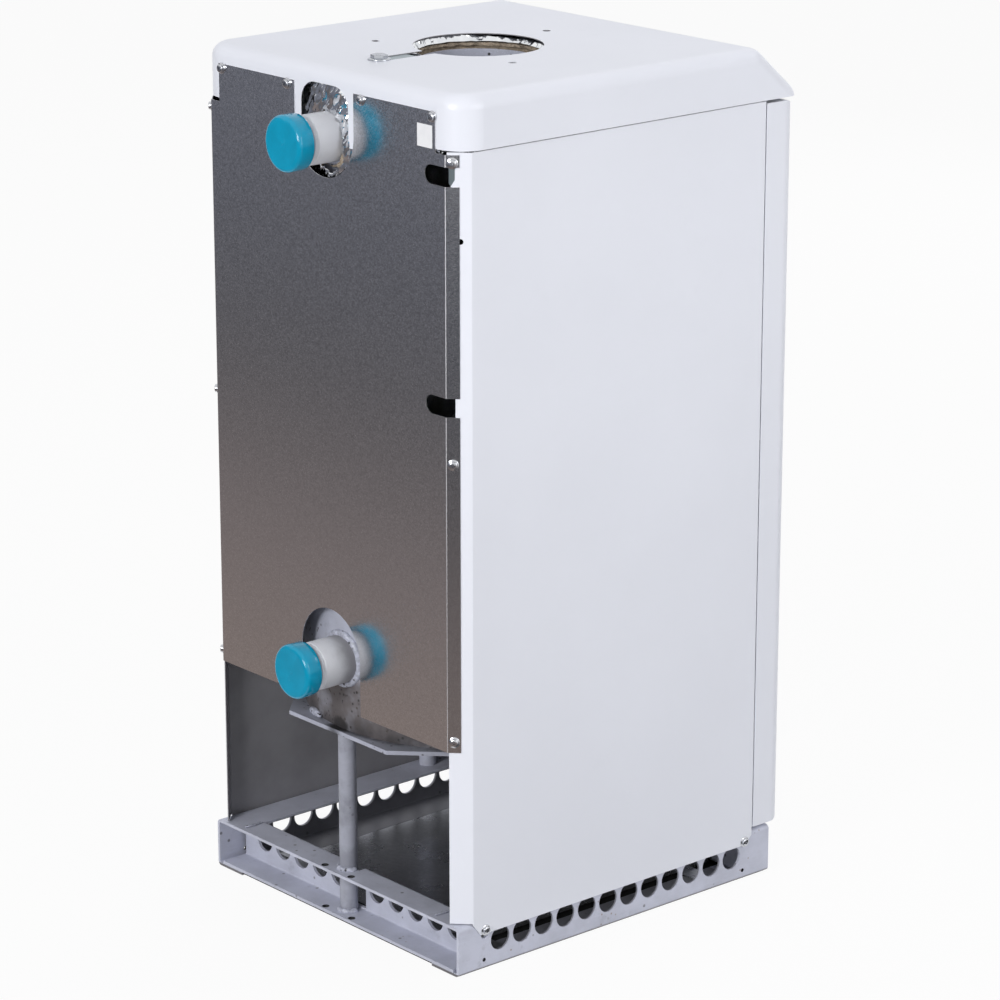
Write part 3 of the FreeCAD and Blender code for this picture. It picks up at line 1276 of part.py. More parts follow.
def control_knob():
    centre = Vector(KNOB_X, KNOB_REAR, KNOB_Z)
    bore = SPINDLE_RADIUS + RUNNING
    points = [
        (bore, 0), (KNOB_RADIUS, 0), (KNOB_RADIUS, 3), (KNOB_RADIUS - 1.5, KNOB_LENGTH - 1.5),
        (KNOB_RADIUS - 3, KNOB_LENGTH), (0, KNOB_LENGTH), (0, KNOB_LENGTH - 3), (bore, KNOB_LENGTH - 3),
    ]
    knob = turned(points, centre, Vector(0, -1, 0))
    front = KNOB_REAR - KNOB_LENGTH
    mark = box(KNOB_X - 0.8, KNOB_X + 0.8, front - 1, front + 0.8, KNOB_Z + 6, KNOB_Z + KNOB_RADIUS)
    grips = []
    for i in range(12):
        angle = math.radians(30 * i + 15)
        x = KNOB_X + (KNOB_RADIUS + 1.2) * math.cos(angle)
        z = KNOB_Z + (KNOB_RADIUS + 1.2) * math.sin(angle)
        grips.append(rod(2.6, Vector(x, front - 1, z), Vector(x, KNOB_REAR - 3, z)))
    return cut_all(knob, [mark] + grips)


def igniter_button():
    end = VALVE_FRONT - BUTTON_TRAVEL - 4
    start = Vector(BUTTON_X, VALVE_FRONT + 13.5, BUTTON_Z)
    button = rod(BUTTON_RADIUS, start, Vector(BUTTON_X, end, BUTTON_Z))
    rim = [e for e in button.Edges if abs(e.CenterOfMass.y - end) < 0.01 and e.Length > 20]
    return button.makeFillet(1.2, rim[:1])


def lead(index, radius, height, reach):
    """A thin line from the burner plate to the underside of the valve."""
    x = lead_xs()[index]
    end = manifold_x() + OUTLET_NUT_RADIUS + 1 + LEAD_SPACING * index
    points = [
        Vector(x, TUNNEL_FRONT + reach, lead_z()),
        Vector(x, LEAD_Y, lead_z()),
        Vector(x, LEAD_Y, lead_z() + height),
        Vector(end, LEAD_Y, lead_z() + height),
        Vector(end, LEAD_Y, VALVE_BOTTOM),
    ]
    return pipe(points, radius, LEAD_BEND)


def sleeve(index, back):
    x = lead_xs()[index]
    spot = Vector(x, BURNER_FRONT - 1, lead_z())
    return rod(SLEEVE_RADIUS, spot, Vector(x, TUNNEL_FRONT + back, lead_z()))


def pilot_burner():
    x = lead_xs()[1]
    half = PILOT_WIDTH / 2
    y = TUNNEL_FRONT + PILOT_START
    head = box(x - half, x + half, y, y + PILOT_LENGTH, lead_z() - half, lead_z() + PILOT_RISE)
    return fused([lead(1, 2, LEAD_SPACING + LEAD_STEP, 4), sleeve(1, PILOT_START + 2), head])


def thermocouple():
    return fused([lead(2, CAPILLARY_RADIUS, LEAD_SPACING, 4), sleeve(2, THERMOCOUPLE_REACH)])


def igniter_electrode():
    x = lead_xs()[0]
    start = Vector(x, TUNNEL_FRONT + ELECTRODE_SLEEVE - LEAD_STEP, lead_z())
    tip = rod(1, start, Vector(x, TUNNEL_FRONT + ELECTRODE_REACH, lead_z()))
    return fused([lead(0, 2, LEAD_SPACING + 2 * LEAD_STEP, 4), sleeve(0, ELECTRODE_SLEEVE), tip])


def thermostat_bulb():
    """A pocket in the vessel wall and its capillary down to the top of the valve."""
    front = -VESSEL_RADIUS - BULB_STANDOUT
    end = -VESSEL_RADIUS + BULB_INSIDE
    pocket = rod(BULB_RADIUS, Vector(BULB_X, end, BULB_HEIGHT), Vector(BULB_X, front, BULB_HEIGHT))
    x = KNOB_X
    y = VALVE_FRONT + VALVE_DEPTH / 2
    points = [
        Vector(BULB_X, front + 2, BULB_HEIGHT),
        Vector(BULB_X, y, BULB_HEIGHT),
        Vector(x, y, BULB_HEIGHT),
        Vector(x, y, VALVE_TOP),
    ]
    return fused([pocket, pipe(points, CAPILLARY_RADIUS, 2 * CAPILLARY_RADIUS)])


def gauge_case():
    """A thermometer with a straight stem in a pocket of the vessel."""
    centre = Vector(0, GAUGE_FRONT, WINDOW_HEIGHT)
    depth = GAUGE_DEPTH
    wall = GAUGE_WALL
    inner = GAUGE_RADIUS - wall
    stem = -GAUGE_FRONT - VESSEL_RADIUS + GAUGE_STEM_INSIDE
    lip = wall + 0.5
    boss = depth + GAUGE_BOSS
    points = [
        (0, depth - wall), (inner, depth - wall), (inner, lip), (inner - wall, lip), (inner - wall, 0),
        (GAUGE_RADIUS, 0), (GAUGE_RADIUS, depth), (GAUGE_BOSS, depth), (GAUGE_BOSS, boss),
        (GAUGE_STEM, boss), (GAUGE_STEM, stem), (0, stem),
    ]
    case = turned(points, centre, Vector(0, 1, 0))
    y = GAUGE_FRONT + depth - 2 * wall
    return fused([case, rod(GAUGE_AXLE, Vector(0, y - 4, WINDOW_HEIGHT), Vector(0, y + 3, WINDOW_HEIGHT))])


def gauge_dial():
    y = GAUGE_FRONT + GAUGE_DEPTH - GAUGE_WALL - 0.8
    start = Vector(0, y, WINDOW_HEIGHT)
    return tube(GAUGE_RADIUS - GAUGE_WALL - CLEAR, GAUGE_AXLE + CLEAR, start, start + Vector(0, 0.8, 0))


def gauge_pointer():
    y = GAUGE_FRONT + GAUGE_DEPTH - GAUGE_WALL - 4.5
    z = WINDOW_HEIGHT
    hub = tube(POINTER_HUB, GAUGE_AXLE + RUNNING, Vector(0, y - 1.2, z), Vector(0, y + 1.2, z))
    hand = box(-0.9, 0.9, y - 0.5, y + 0.5, z + 2.5, z + GAUGE_RADIUS - 6)
    tail = box(-1.5, 1.5, y - 0.5, y + 0.5, z - 9, z - 2.5)
    return fused([hub, hand, tail])


def gauge_glass():
    y = GAUGE_FRONT + GAUGE_WALL + 0.5
    start = Vector(0, y, WINDOW_HEIGHT)
    return rod(GAUGE_RADIUS - GAUGE_WALL - CLEAR, start, start + Vector(0, 1.6, 0))


def peephole_flap():
    """A small cover that swings aside on a rivet."""
    y1 = BURNER_FRONT - 0.3
    y0 = y1 - FLAP_SHEET
    top = PEEPHOLE_Z + FLAP_ARM
    disc = rod(FLAP_RADIUS, Vector(PEEPHOLE_X, y0, PEEPHOLE_Z), Vector(PEEPHOLE_X, y1, PEEPHOLE_Z))
    arm = box(PEEPHOLE_X - 4, PEEPHOLE_X + 4, y0, y1, PEEPHOLE_Z, top)
    eye = rod(5, Vector(PEEPHOLE_X, y0, top), Vector(PEEPHOLE_X, y1, top))
    rivet = rod(RIVET_RADIUS, Vector(PEEPHOLE_X, y0 - 1, top), Vector(PEEPHOLE_X, TUNNEL_FRONT + 1, top))
    return fused([disc, arm, eye, rivet])


def nodes():
    crown = (FIREBOX_RADIUS, FIRE_TUBE_RADIUS + CLEAR, FIREBOX_TOP - VESSEL_WALL, FIREBOX_TOP)
    top = (VESSEL_RADIUS, FIRE_TUBE_RADIUS + CLEAR, VESSEL_TOP - VESSEL_WALL, VESSEL_TOP)
    tube_top = VESSEL_TOP + FIRE_TUBE_STANDOUT
    fire = (FIRE_TUBE_RADIUS, FIRE_TUBE_BORE, FIREBOX_TOP - VESSEL_WALL, tube_top)
    collar = (FLUE_RADIUS, FLUE_RADIUS - FLUE_WALL, FLUE_RIM - COLLAR_LENGTH, FLUE_RIM)
    rail = side_rail()
    return {
        "base_rail_right": rail,
        "base_rail_left": mirror_x(rail),
        "base_rail_rear": rear_rail(),
        "base_rail_front": front_rail(),
        "heat_shield_tray": heat_shield_tray(),
        "rear_post": rear_post(),
        "front_posts": front_posts(),
        "vessel_bottom_plate": bottom_plate(),
        "vessel_shell": vessel_shell(),
        "vessel_top_plate": ring_plate(*top),
        "firebox_shell": firebox_shell(),
        "firebox_crown": ring_plate(*crown),
        "fire_tube": ring_plate(*fire),
        "flue_collar": ring_plate(*collar),
        "turbulator": turbulator(),
        "burner_tunnel": burner_tunnel(),
        "supply_nipple": nipple(SUPPLY_HEIGHT),
        "return_nipple": nipple(RETURN_HEIGHT),
        "supply_cap": cap(SUPPLY_HEIGHT),
        "return_cap": cap(RETURN_HEIGHT),
        "weld_beads": weld_beads(),
        "insulation_wrap": insulation_wrap(),
        "insulation_top": insulation_top(),
        "side_panel_left": side_panel(-1),
        "side_panel_right": side_panel(1),
        "rear_panel": rear_panel(),
        "top_cover": top_cover(),
        "rear_panel_screws": rear_panel_screws(),
        "side_panel_screws": side_panel_screws(),
        "flange_spring_nut": flange_spring_nut(),
        "cover_screw": cover_screw(),
        "cover_nut_plate": cover_nut_plate(),
        "blank_label": blank_label(),
        "front_crossbar": front_crossbar(),
        "hinge_brackets": hinge_brackets(),
        "hinge_pins": hinge_pins(),
        "door_magnet": door_magnet(),
        "door_panel": door_panel(),
        "door_bushes": door_bushes(),
        "door_handle_cup": door_handle_cup(),
        "window_bezel": window_bezel(),
        "window_lens": window_lens(),
        "burner_plate": burner_plate(),
        "burner_tubes": burner_tubes(),
        "gas_manifold": gas_manifold(),
        "gas_jets": gas_jets(),
        "gas_valve": gas_valve(),
        "gas_inlet_pipe": gas_inlet_pipe(),
        "valve_spindle": valve_spindle(),
        "control_knob": control_knob(),
        "igniter_button": igniter_button(),
        "pilot_burner": pilot_burner(),
        "thermocouple": thermocouple(),
        "igniter_electrode": igniter_electrode(),
        "thermostat_bulb": thermostat_bulb(),
        "gauge_case": gauge_case(),
        "gauge_dial": gauge_dial(),
        "gauge_pointer": gauge_pointer(),
        "gauge_glass": gauge_glass(),
        "peephole_flap": peephole_flap(),
    }


def main():
    os.makedirs("parts", exist_ok=True)
    for name, shape in nodes().items():
        shape.exportStep("parts/" + name + ".step")


main()
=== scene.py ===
"""Looks for a floor-standing gas boiler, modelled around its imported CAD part."""

import math

import bmesh
import bpy
from mathutils import Matrix, Vector, noise


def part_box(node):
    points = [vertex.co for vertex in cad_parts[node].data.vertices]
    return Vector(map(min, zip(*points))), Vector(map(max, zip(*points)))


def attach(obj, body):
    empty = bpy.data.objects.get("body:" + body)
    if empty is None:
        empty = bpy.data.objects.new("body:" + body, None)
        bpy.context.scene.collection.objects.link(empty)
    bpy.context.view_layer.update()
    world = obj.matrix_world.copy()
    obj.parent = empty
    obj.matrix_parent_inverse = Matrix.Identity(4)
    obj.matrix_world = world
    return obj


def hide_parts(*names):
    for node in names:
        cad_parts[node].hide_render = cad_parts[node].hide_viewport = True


bl_info = {
    "name": "Gas boiler looks",
    "version": (1, 0, 0),
    "blender": (4, 5, 0),
    "location": "3D View > Sidebar > Boiler",
    "description": "Dresses the gas boiler: caps, screws, welds, lagging, finishes and studio",
    "category": "Object",
}

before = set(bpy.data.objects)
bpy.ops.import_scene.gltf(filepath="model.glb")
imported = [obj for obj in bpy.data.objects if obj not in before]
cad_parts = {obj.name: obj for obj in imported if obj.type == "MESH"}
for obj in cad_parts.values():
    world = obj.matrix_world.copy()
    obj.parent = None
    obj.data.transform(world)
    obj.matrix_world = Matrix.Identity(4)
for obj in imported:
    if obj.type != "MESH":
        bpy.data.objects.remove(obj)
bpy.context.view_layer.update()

MM = 0.001
BOILER = "boiler"
SUPPLY_LOW, SUPPLY_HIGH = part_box("supply_cap")
SUPPLY_Z = (SUPPLY_LOW.z + SUPPLY_HIGH.z) / 2
RETURN_LOW, RETURN_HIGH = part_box("return_cap")
RETURN_Z = (RETURN_LOW.z + RETURN_HIGH.z) / 2
RAIL_LOW, RAIL_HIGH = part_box("base_rail_right")
RAIL_MIDDLE = (RAIL_LOW.y + RAIL_HIGH.y) / 2
RAIL_HALF = (RAIL_HIGH.y - RAIL_LOW.y) / 2
POST_LOW, POST_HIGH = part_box("rear_post")
POST = (POST_LOW + POST_HIGH) / 2
POST_RADIUS = POST_HIGH.x - POST.x
FLOOR_HOLE = Vector((20.5 * MM, RAIL_HIGH.y - 5.5 * MM - RAIL_MIDDLE))
FLOOR_HOLE_RADIUS = 3.8 * MM
DRAIN_HOLES = ((157.0 * MM, 10.0 * MM), (-187.5 * MM, 10.0 * MM))
DRAIN_RADIUS = 2.0 * MM
DRAIN_X = 180.0 * MM
CORNER_X = 170.0 * MM
SEAM_X, SEAM_Y = 165.0 * MM, -150.0 * MM
BURNT_X, BURNT_Y, BURNT_Z = 5.0 * MM, 177.0 * MM, 199.0 * MM
# Tops of the painted shade low on the vessel wall and at its foot, and of the real pits.
FOOT_SHADE_TOP, LOW_WALL_SHADE_TOP, PITS_TOP = 222.0 * MM, 262.0 * MM, 270.0 * MM
COLLAR_Z = 800.0 * MM
# Where the painted shade on the lower pipe ends, and where the thread grooves begin.
ROOT_SHADE_Y, GROOVE_Y = 199.0 * MM, 216.5 * MM
FIRST_TURN, NEXT_TURN = 0.9, 2.3
FOIL_SEED = 1
PIPE_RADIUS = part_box("supply_nipple")[1].x
VESSEL_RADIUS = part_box("vessel_shell")[1].x
MIDDLE = (0.0, 0.0, 0.45)


# ------------------------------------------------------------------ settings


def length(name, description, default):
    """A setting in metres."""
    return bpy.props.FloatProperty(
        name=name, description=description, default=default, unit="LENGTH"
    )


def colour(name, description, default):
    """A setting that is a colour."""
    return bpy.props.FloatVectorProperty(
        name=name,
        description=description,
        default=default,
        size=3,
        min=0.0,
        max=1.0,
        subtype="COLOR",
    )


class BoilerSizes(bpy.types.PropertyGroup):
    """Sizes of the pieces that are modelled here."""

    cap_edge: length("Cap edge", "Rounding of a cap's outer edge", 4.2 * MM)
    cap_wall: length("Cap wall", "Wall thickness of a cap", 2.6 * MM)
    head_radius: length("Screw head", "Radius of a pan head", 3.9 * MM)
    flange_radius: length("Screw flange", "Radius of a screw's flange", 5.4 * MM)
    head_rise: length("Screw rise", "Height of a screw's head", 3.5 * MM)
    bolt_head: length("Bolt head", "Corner radius of the cover bolt's hexagon", 8.3 * MM)
    bolt_shank: length("Bolt shank", "Radius of the cover bolt's shank", 3.9 * MM)
    bead_radius: length("Weld bead", "Half thickness of a weld bead", 3.6 * MM)
    foil_crease: length("Foil crease", "Depth of the creases in the foil", 4.5 * MM)
    wool_tear: length("Wool tear", "Depth of the tears in the wool", 6.0 * MM)


class BoilerColours(bpy.types.PropertyGroup):
    """Main colours of the finishes."""

    casing: colour("Casing", "White of the casing sheets", (0.775, 0.79, 0.86))
    back_coat: colour("Back coat", "Inner side of the sheets", (0.29, 0.285, 0.305))
    zinc: colour("Zinc sheet", "Galvanised rear panel", (0.72, 0.72, 0.735))
    tray: colour("Tray", "Galvanised heat shield", (0.40, 0.41, 0.44))
    frame_paint: colour("Frame paint", "Grey paint of the base", (0.51, 0.525, 0.62))
    vessel_paint: colour("Vessel paint", "Grey paint of the vessel", (0.43, 0.445, 0.53))
    pipe: colour("Pipe ends", "Light paint of the pipes", (0.68, 0.69, 0.735))
    cap: colour("Caps", "Blue plastic of the caps", (0.0, 0.285, 0.46))
    wool: colour("Wool", "Mineral wool", (0.36, 0.295, 0.225))


# ------------------------------------------------------------------ modelling


def fresh():
    """Leave nothing selected."""
    bpy.ops.object.select_all(action="DESELECT")


def only(piece):
    """Select this piece alone."""
    fresh()
    piece.select_set(True)
    bpy.context.view_layer.objects.active = piece
    return piece


def begin(name):
    """Name the primitive just added, put its place in its mesh and edit it."""
    piece = bpy.context.object
    piece.name = piece.data.name = name
    bpy.ops.object.transform_apply(location=True, rotation=True, scale=True)
    bpy.ops.object.mode_set(mode="EDIT")
    return piece


def end():
    """Go back to object mode."""
    bpy.ops.object.mode_set(mode="OBJECT")


def pick(test, kind="FACE"):
    """Select the faces whose middle passes a test, or the edges whose ends do."""
    bpy.ops.mesh.select_mode(type=kind)
    bpy.ops.mesh.select_all(action="DESELECT")
    mesh = bmesh.from_edit_mesh(bpy.context.edit_object.data)
    if kind == "FACE":
        for face in mesh.faces:
            if test(face.calc_center_median(), face.normal):
                face.select_set(True)
    else:
        for edge in mesh.edges:
            if all(test(v.co, v.normal) for v in edge.verts):
                edge.select_set(True)
    mesh.select_flush_mode()
    bmesh.update_edit_mesh(bpy.context.edit_object.data)


def extrude(shift, narrow=None, centre=(0.0, 0.0, 0.0)):
    """Extrude what is selected, move it and narrow it about an upright axis."""
    bpy.ops.mesh.extrude_region_move(TRANSFORM_OT_translate={"value": shift})
    if narrow is not None:
        bpy.ops.transform.resize(value=(narrow, narrow, 1.0), center_override=centre)


def push(piece, rule):
    """Move each point of a piece one by one, as a rule of its place says."""
    for point in piece.data.vertices:
        point.co = rule(point.co.copy(), point.normal.copy())
    piece.data.update()


def apply_modifier(piece, kind, **settings):
    """Add one modifier, set it and apply it."""
    only(piece)
    made = piece.modifiers.new(kind.lower(), kind)
    for key, value in settings.items():
        setattr(made, key, value)
    bpy.ops.object.modifier_apply(modifier=made.name)


def crease(piece, kind, size, depth, level=0.5):
    """Displace a piece by a procedural pattern."""
    pattern = bpy.data.textures.new(f"{piece.name}_{kind}".lower(), kind)
    pattern.noise_scale = size
    apply_modifier(
        piece, "DISPLACE", texture=pattern, texture_coords="LOCAL",
        strength=depth, mid_level=level,
    )


def smooth(piece, angle=35.0):
    """Shade smooth, with edges sharper than the angle kept."""
    only(piece)
    bpy.ops.object.shade_smooth_by_angle(angle=math.radians(angle))


def join(pieces, name):
    """Put pieces' places in their meshes and join them into one."""
    fresh()
    for piece in pieces:
        piece.select_set(True)
    bpy.context.view_layer.objects.active = pieces[0]
    bpy.ops.object.transform_apply(location=True, rotation=True, scale=True)
    if len(pieces) > 1:
        bpy.ops.object.join()
    piece = bpy.context.object
    piece.name = piece.data.name = name
    return piece


def copies(model, places, name):
    """Copy a model to each place, given as matrices, and join the copies."""
    made = []
    for place in places:
        only(model)
        bpy.ops.object.duplicate(linked=False)
        made.append(bpy.context.object)
        made[-1].matrix_world = place
    bpy.data.objects.remove(model)
    return join(made, name)


def islands(node):
    """The separate solids of a CAD node, each as a list of its points."""
    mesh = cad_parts[node].data
    spot, names, parent = [], {}, []
    for point in mesh.vertices:
        key = tuple(round(c, 5) for c in point.co)
        if key not in names:
            names[key] = len(parent)
            parent.append(len(parent))
        spot.append(names[key])

    def root(i):
        while parent[i] != i:
            parent[i] = parent[parent[i]]
            i = parent[i]
        return i

    for face in mesh.polygons:
        first = root(spot[face.vertices[0]])
        for corner in face.vertices[1:]:
            parent[root(spot[corner])] = first
            first = root(first)
    groups = {}
    for point in mesh.vertices:
        groups.setdefault(root(spot[point.index]), []).append(point.co.copy())
    return sorted(groups.values(), key=lambda g: tuple(round(c, 4) for c in middle(g)))


def middle(points):
    """The middle of a group of points' box."""
    low = [min(p[k] for p in points) for k in range(3)]
    high = [max(p[k] for p in points) for k in range(3)]
    return Vector([(a + b) / 2 for a, b in zip(low, high)])


def spread(points):
    """The size of a group of points' box."""
    return Vector([max(p[k] for p in points) - min(p[k] for p in points) for k in range(3)])


def paint(mesh, look):
    """Give a mesh one finish."""
    mesh.materials.clear()
    mesh.materials.append(finish(look))


def dress(piece, look, slot, *nodes, body=BOILER):
    """Give a new piece its finish, its body and the nodes it stands for; the slot is not used."""
    paint(piece.data, look)
    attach(piece, body)
    if nodes:
        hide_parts(*nodes)


# ------------------------------------------------------------------ finishes


def math_node(operation, swapped=False):
    """A method of Wire that adds one Math node."""

    def work(self, other=0.0):
        pair = (other, self) if swapped else (self, other)
        return self.nodes.node(
            "ShaderNodeMath", {"operation": operation}, dict(enumerate(pair))
        )

    return work


class Wire:
    """A value in a node tree, for sums in plain Python."""

    def __init__(self, nodes, socket):
        self.nodes, self.socket = nodes, socket

    __add__, __radd__ = math_node("ADD"), math_node("ADD", True)
    __sub__, __rsub__ = math_node("SUBTRACT"), math_node("SUBTRACT", True)
    __mul__, __rmul__ = math_node("MULTIPLY"), math_node("MULTIPLY", True)
    __truediv__, __pow__ = math_node("DIVIDE"), math_node("POWER")
    __gt__, __lt__ = math_node("GREATER_THAN"), math_node("LESS_THAN")
    __abs__, sign = math_node("ABSOLUTE"), math_node("SIGN")
    larger, smaller = math_node("MAXIMUM"), math_node("MINIMUM")


class Nodes:
    """The node tree of a material or of the world."""

    def __init__(self, tree):
        self.tree = tree

    def node(self, kind, settings=None, inputs=None, output=0):
        """Add any node: its settings first, then its sockets' values or links."""
        made = self.tree.nodes.new(kind)
        for key, value in (settings or {}).items():
            if key == "stops":
                ramp = made.color_ramp
                while len(ramp.elements) < len(value):
                    ramp.elements.new(0.5)
                for element, (place, tone) in zip(ramp.elements, value):
                    element.position = place
                    element.color = (*tone, 1.0)
            else:
                setattr(made, key, value)
        for key, value in (inputs or {}).items():
            if isinstance(value, Wire):
                self.tree.links.new(value.socket, made.inputs[key])
            else:
                made.inputs[key].default_value = value
        return Wire(self, made.outputs[output])

    def seen(self):
        """1 for what the camera, a reflection or glass shows, 0 for light."""
        camera, glossy, through = (
            self.node("ShaderNodeLightPath", output=f"Is {kind} Ray")
            for kind in ("Camera", "Glossy", "Transmission")
        )
        return camera.larger(glossy).larger(through)

    def show(self, shader, out="Material Output"):
        """Make a shader the surface that is shown."""
        self.tree.links.new(shader.socket, self.tree.nodes[out].inputs["Surface"])


class Finish(Nodes):
    """A material in the making."""

    def __init__(self, name, **fixed):
        self.material = bpy.data.materials.new(name)
        self.material.use_nodes = True
        super().__init__(self.material.node_tree)
        self.shader = self.tree.nodes["Principled BSDF"]
        for socket, value in fixed.items():
            self.shader.inputs[socket.replace("_", " ")].default_value = value
        self._place = None

    def feed(self, **links):
        """Link values to the shader's own sockets."""
        for socket, wire in links.items():
            self.tree.links.new(wire.socket, self.shader.inputs[socket.replace("_", " ")])
        return self.material

    def done(self, colour, rough, height, relief):
        """Link a colour, a roughness and a bump, whose height of 1 is relief metres."""
        return self.feed(
            Base_Color=colour, Roughness=rough, Normal=self.bump(height, relief)
        )

    def place(self):
        """Object coordinates, in metres."""
        if self._place is None:
            self._place = self.node("ShaderNodeTexCoord", output="Object")
        return self._place

    def axes(self, vector=None):
        """The three parts of a vector, or of the place."""
        vector = vector or self.place()
        return [
            self.node("ShaderNodeSeparateXYZ", {}, {0: vector}, output=k)
            for k in range(3)
        ]

    def stretched(self, scale):
        """The place, stretched along its axes."""
        return self.node(
            "ShaderNodeMapping",
            {"vector_type": "POINT"},
            {"Vector": self.place(), "Scale": scale},
        )

    def noise(self, scale, detail=3.0, rough=0.55, twist=0.0, vector=None):
        """Cloudy pattern from 0 to 1, at so many clouds a metre."""
        return self.node(
            "ShaderNodeTexNoise",
            {},
            {"Vector": vector or self.place(), "Scale": scale, "Detail": detail,
             "Roughness": rough, "Distortion": twist},
        )

    def cells(self, scale, output="Distance"):
        """A cell pattern, at so many cells a metre: distance in a cell or its colour."""
        return self.node(
            "ShaderNodeTexVoronoi",
            {"feature": "F1"},
            {"Vector": self.place(), "Scale": scale},
            output,
        )

    def shards(self, scale):
        """One chance value for each cell of a pattern."""
        return self.node("ShaderNodeSeparateColor", {}, {0: self.cells(scale, "Color")})

    def specks(self, scale, edge, heart, cloud, low, high):
        """Spots of a cell pattern, kept where a cloudy pattern is above low to high."""
        spots = self.step(self.cells(scale), edge, heart)
        return spots * self.step(self.noise(cloud), low, high)

    def step(self, value, low, high):
        """A soft step from 0 at low to 1 at high."""
        return self.node(
            "ShaderNodeMapRange",
            {"interpolation_type": "SMOOTHSTEP", "clamp": True},
            {"Value": value, "From Min": low, "From Max": high},
        )

    def mix(self, factor, first, second):
        """A colour between two colours."""
        return self.node(
            "ShaderNodeMix",
            {"data_type": "RGBA"},
            {0: factor, 6: shade(first), 7: shade(second)},
            output=2,
        )

    def bump(self, height, distance):
        """A normal from a height; distance is the height of 1 in metres."""
        inputs = {"Height": height, "Distance": distance, "Strength": 1.0}
        return self.node("ShaderNodeBump", {}, inputs)

    def facing(self):
        """The three parts of the face's normal, in the piece's own axes."""
        return self.axes(self.node(
            "ShaderNodeVectorTransform",
            {"vector_type": "NORMAL", "convert_from": "WORLD", "convert_to": "OBJECT"},
            {0: self.node("ShaderNodeNewGeometry", output="True Normal")},
        ))

    def inward(self):
        """1 on faces that look towards the middle of the casing."""
        parts = []
        for spot, normal, centre in zip(self.axes(), self.facing(), MIDDLE):
            parts.append((spot - centre).sign() * normal * -1.0)
        return self.step(parts[0].larger(parts[1]).larger(parts[2]), 0.25, 0.4)


def shade(value):
    """A colour as Blender's sockets take it, or a link as it is."""
    return value if isinstance(value, Wire) else (*value, 1.0)


def apart(across, along):
    """How far a place is from an axis."""
    return (across * across + along * along) ** 0.5


def tint(rgb, factor):
    """A lighter or darker colour."""
    return tuple(min(1.0, c * factor) for c in rgb)


def casing_white(colours):
    f = Finish("casing_white", IOR=1.5)
    coat = colours.casing
    cloud = f.noise(3.0, 4.0)
    peel = f.noise(700.0, 2.0)
    smear = f.noise(18.0, 5.0, 0.6)
    skin = f.mix(f.step(cloud, 0.3, 0.7), tint(coat, 0.975), tint(coat, 1.015))
    skin = f.mix(f.step(smear, 0.62, 0.8) * 0.35, skin, tint(coat, 0.94))
    x, y, _ = f.axes()
    seam = f.step(abs(x), SEAM_X - 5.0 * MM, SEAM_X) * (y < SEAM_Y)
    inside = f.inward() * (1.0 - seam)
    back = colours.back_coat
    lining = f.mix(f.step(smear, 0.35, 0.7), tint(back, 0.9), tint(back, 1.08))
    return f.done(
        f.mix(inside, skin, lining), 0.30 + peel * 0.06 + smear * 0.06, peel, 0.00006
    )


def zinc_sheet(colours):
    f = Finish("zinc_sheet", Metallic=1.0)
    tone = colours.zinc
    grain = f.shards(1150.0)
    flake = f.shards(520.0)
    smear = f.noise(7.0, 3.0)
    _, _, z = f.axes()
    lively = 0.5 + (grain * 0.6 + flake * 0.4 - 0.5) * (0.4 + 0.6 * f.step(z, 0.3, 0.7))
    skin = f.mix(lively, tint(tone, 0.70), tint(tone, 1.24))
    across, face, _ = f.facing()
    # Painted shade: the 45-degree flanges of the same zinc sheet are darkened by the way they
    # face.
    flange = f.step(abs(across), 0.55, 0.65) * f.step(face, 0.55, 0.65)
    skin = f.mix(flange * 0.45, skin, tint(tone, 0.45))
    # Painted highlight: cut edges and the fold line are made lighter and rougher, so they show as
    # bright lines.
    cut = 1.0 - f.step(abs(face), 0.3, 0.6)
    fold = f.step(face, 0.73, 0.78) * f.step(face, 0.995, 0.97)
    bare = cut.larger(fold)
    skin = f.mix(bare * 0.6, skin, (0.88, 0.88, 0.90))
    return f.done(skin, 0.115 + grain * 0.07 + smear * 0.03 + bare * 0.3, lively, 0.000016)


def tray_zinc(colours):
    f = Finish("tray_zinc", Metallic=0.85)
    tone = colours.tray
    spangle = f.shards(300.0)
    cloud = f.noise(14.0, 5.0)
    dust = f.specks(160.0, 0.16, 0.08, 40.0, 0.5, 0.6)
    dust = dust.larger(f.specks(380.0, 0.20, 0.10, 90.0, 0.48, 0.58))
    skin = f.mix(spangle * 0.5, tint(tone, 0.85), tint(tone, 1.2))
    skin = f.mix(f.step(cloud, 0.4, 0.7) * 0.4, skin, tint(tone, 0.7))
    return f.done(
        f.mix(dust * 0.8, skin, (0.75, 0.72, 0.68)),
        0.20 + cloud * 0.16 + dust * 0.3, spangle, 0.00006,
    )


def painted(name, tone, specks=0.0, grime=0.4):
    """Brushed grey paint with dirt, specks and small chips."""
    f = Finish(name)
    cloud = f.noise(22.0, 5.0, 0.6)
    brush = f.noise(1.0, 4.0, 0.6, vector=f.stretched((60.0, 60.0, 420.0)))
    dirt = f.step(f.noise(48.0, 6.0, 0.65), 0.57, 0.74)
    chip = f.specks(62.0, 0.13, 0.07, 17.0, 0.46, 0.56)
    rust = f.specks(88.0, 0.12, 0.05, 13.0, 0.56, 0.64)
    black = f.specks(130.0, 0.24, 0.13, 26.0, 0.47, 0.56)
    skin = f.mix(f.step(cloud, 0.3, 0.7), tint(tone, 0.9), tint(tone, 1.1))
    skin = f.mix(f.step(brush, 0.45, 0.75) * 0.3, skin, tint(tone, 1.18))
    skin = f.mix(dirt * grime, skin, tint(tone, 0.5))
    skin = f.mix(chip * 0.75, skin, (0.10, 0.095, 0.10))
    skin = f.mix(rust * 0.7, skin, (0.20, 0.115, 0.065))
    skin = f.mix(black * specks, skin, (0.025, 0.025, 0.028))
    return f, skin, cloud, brush, black


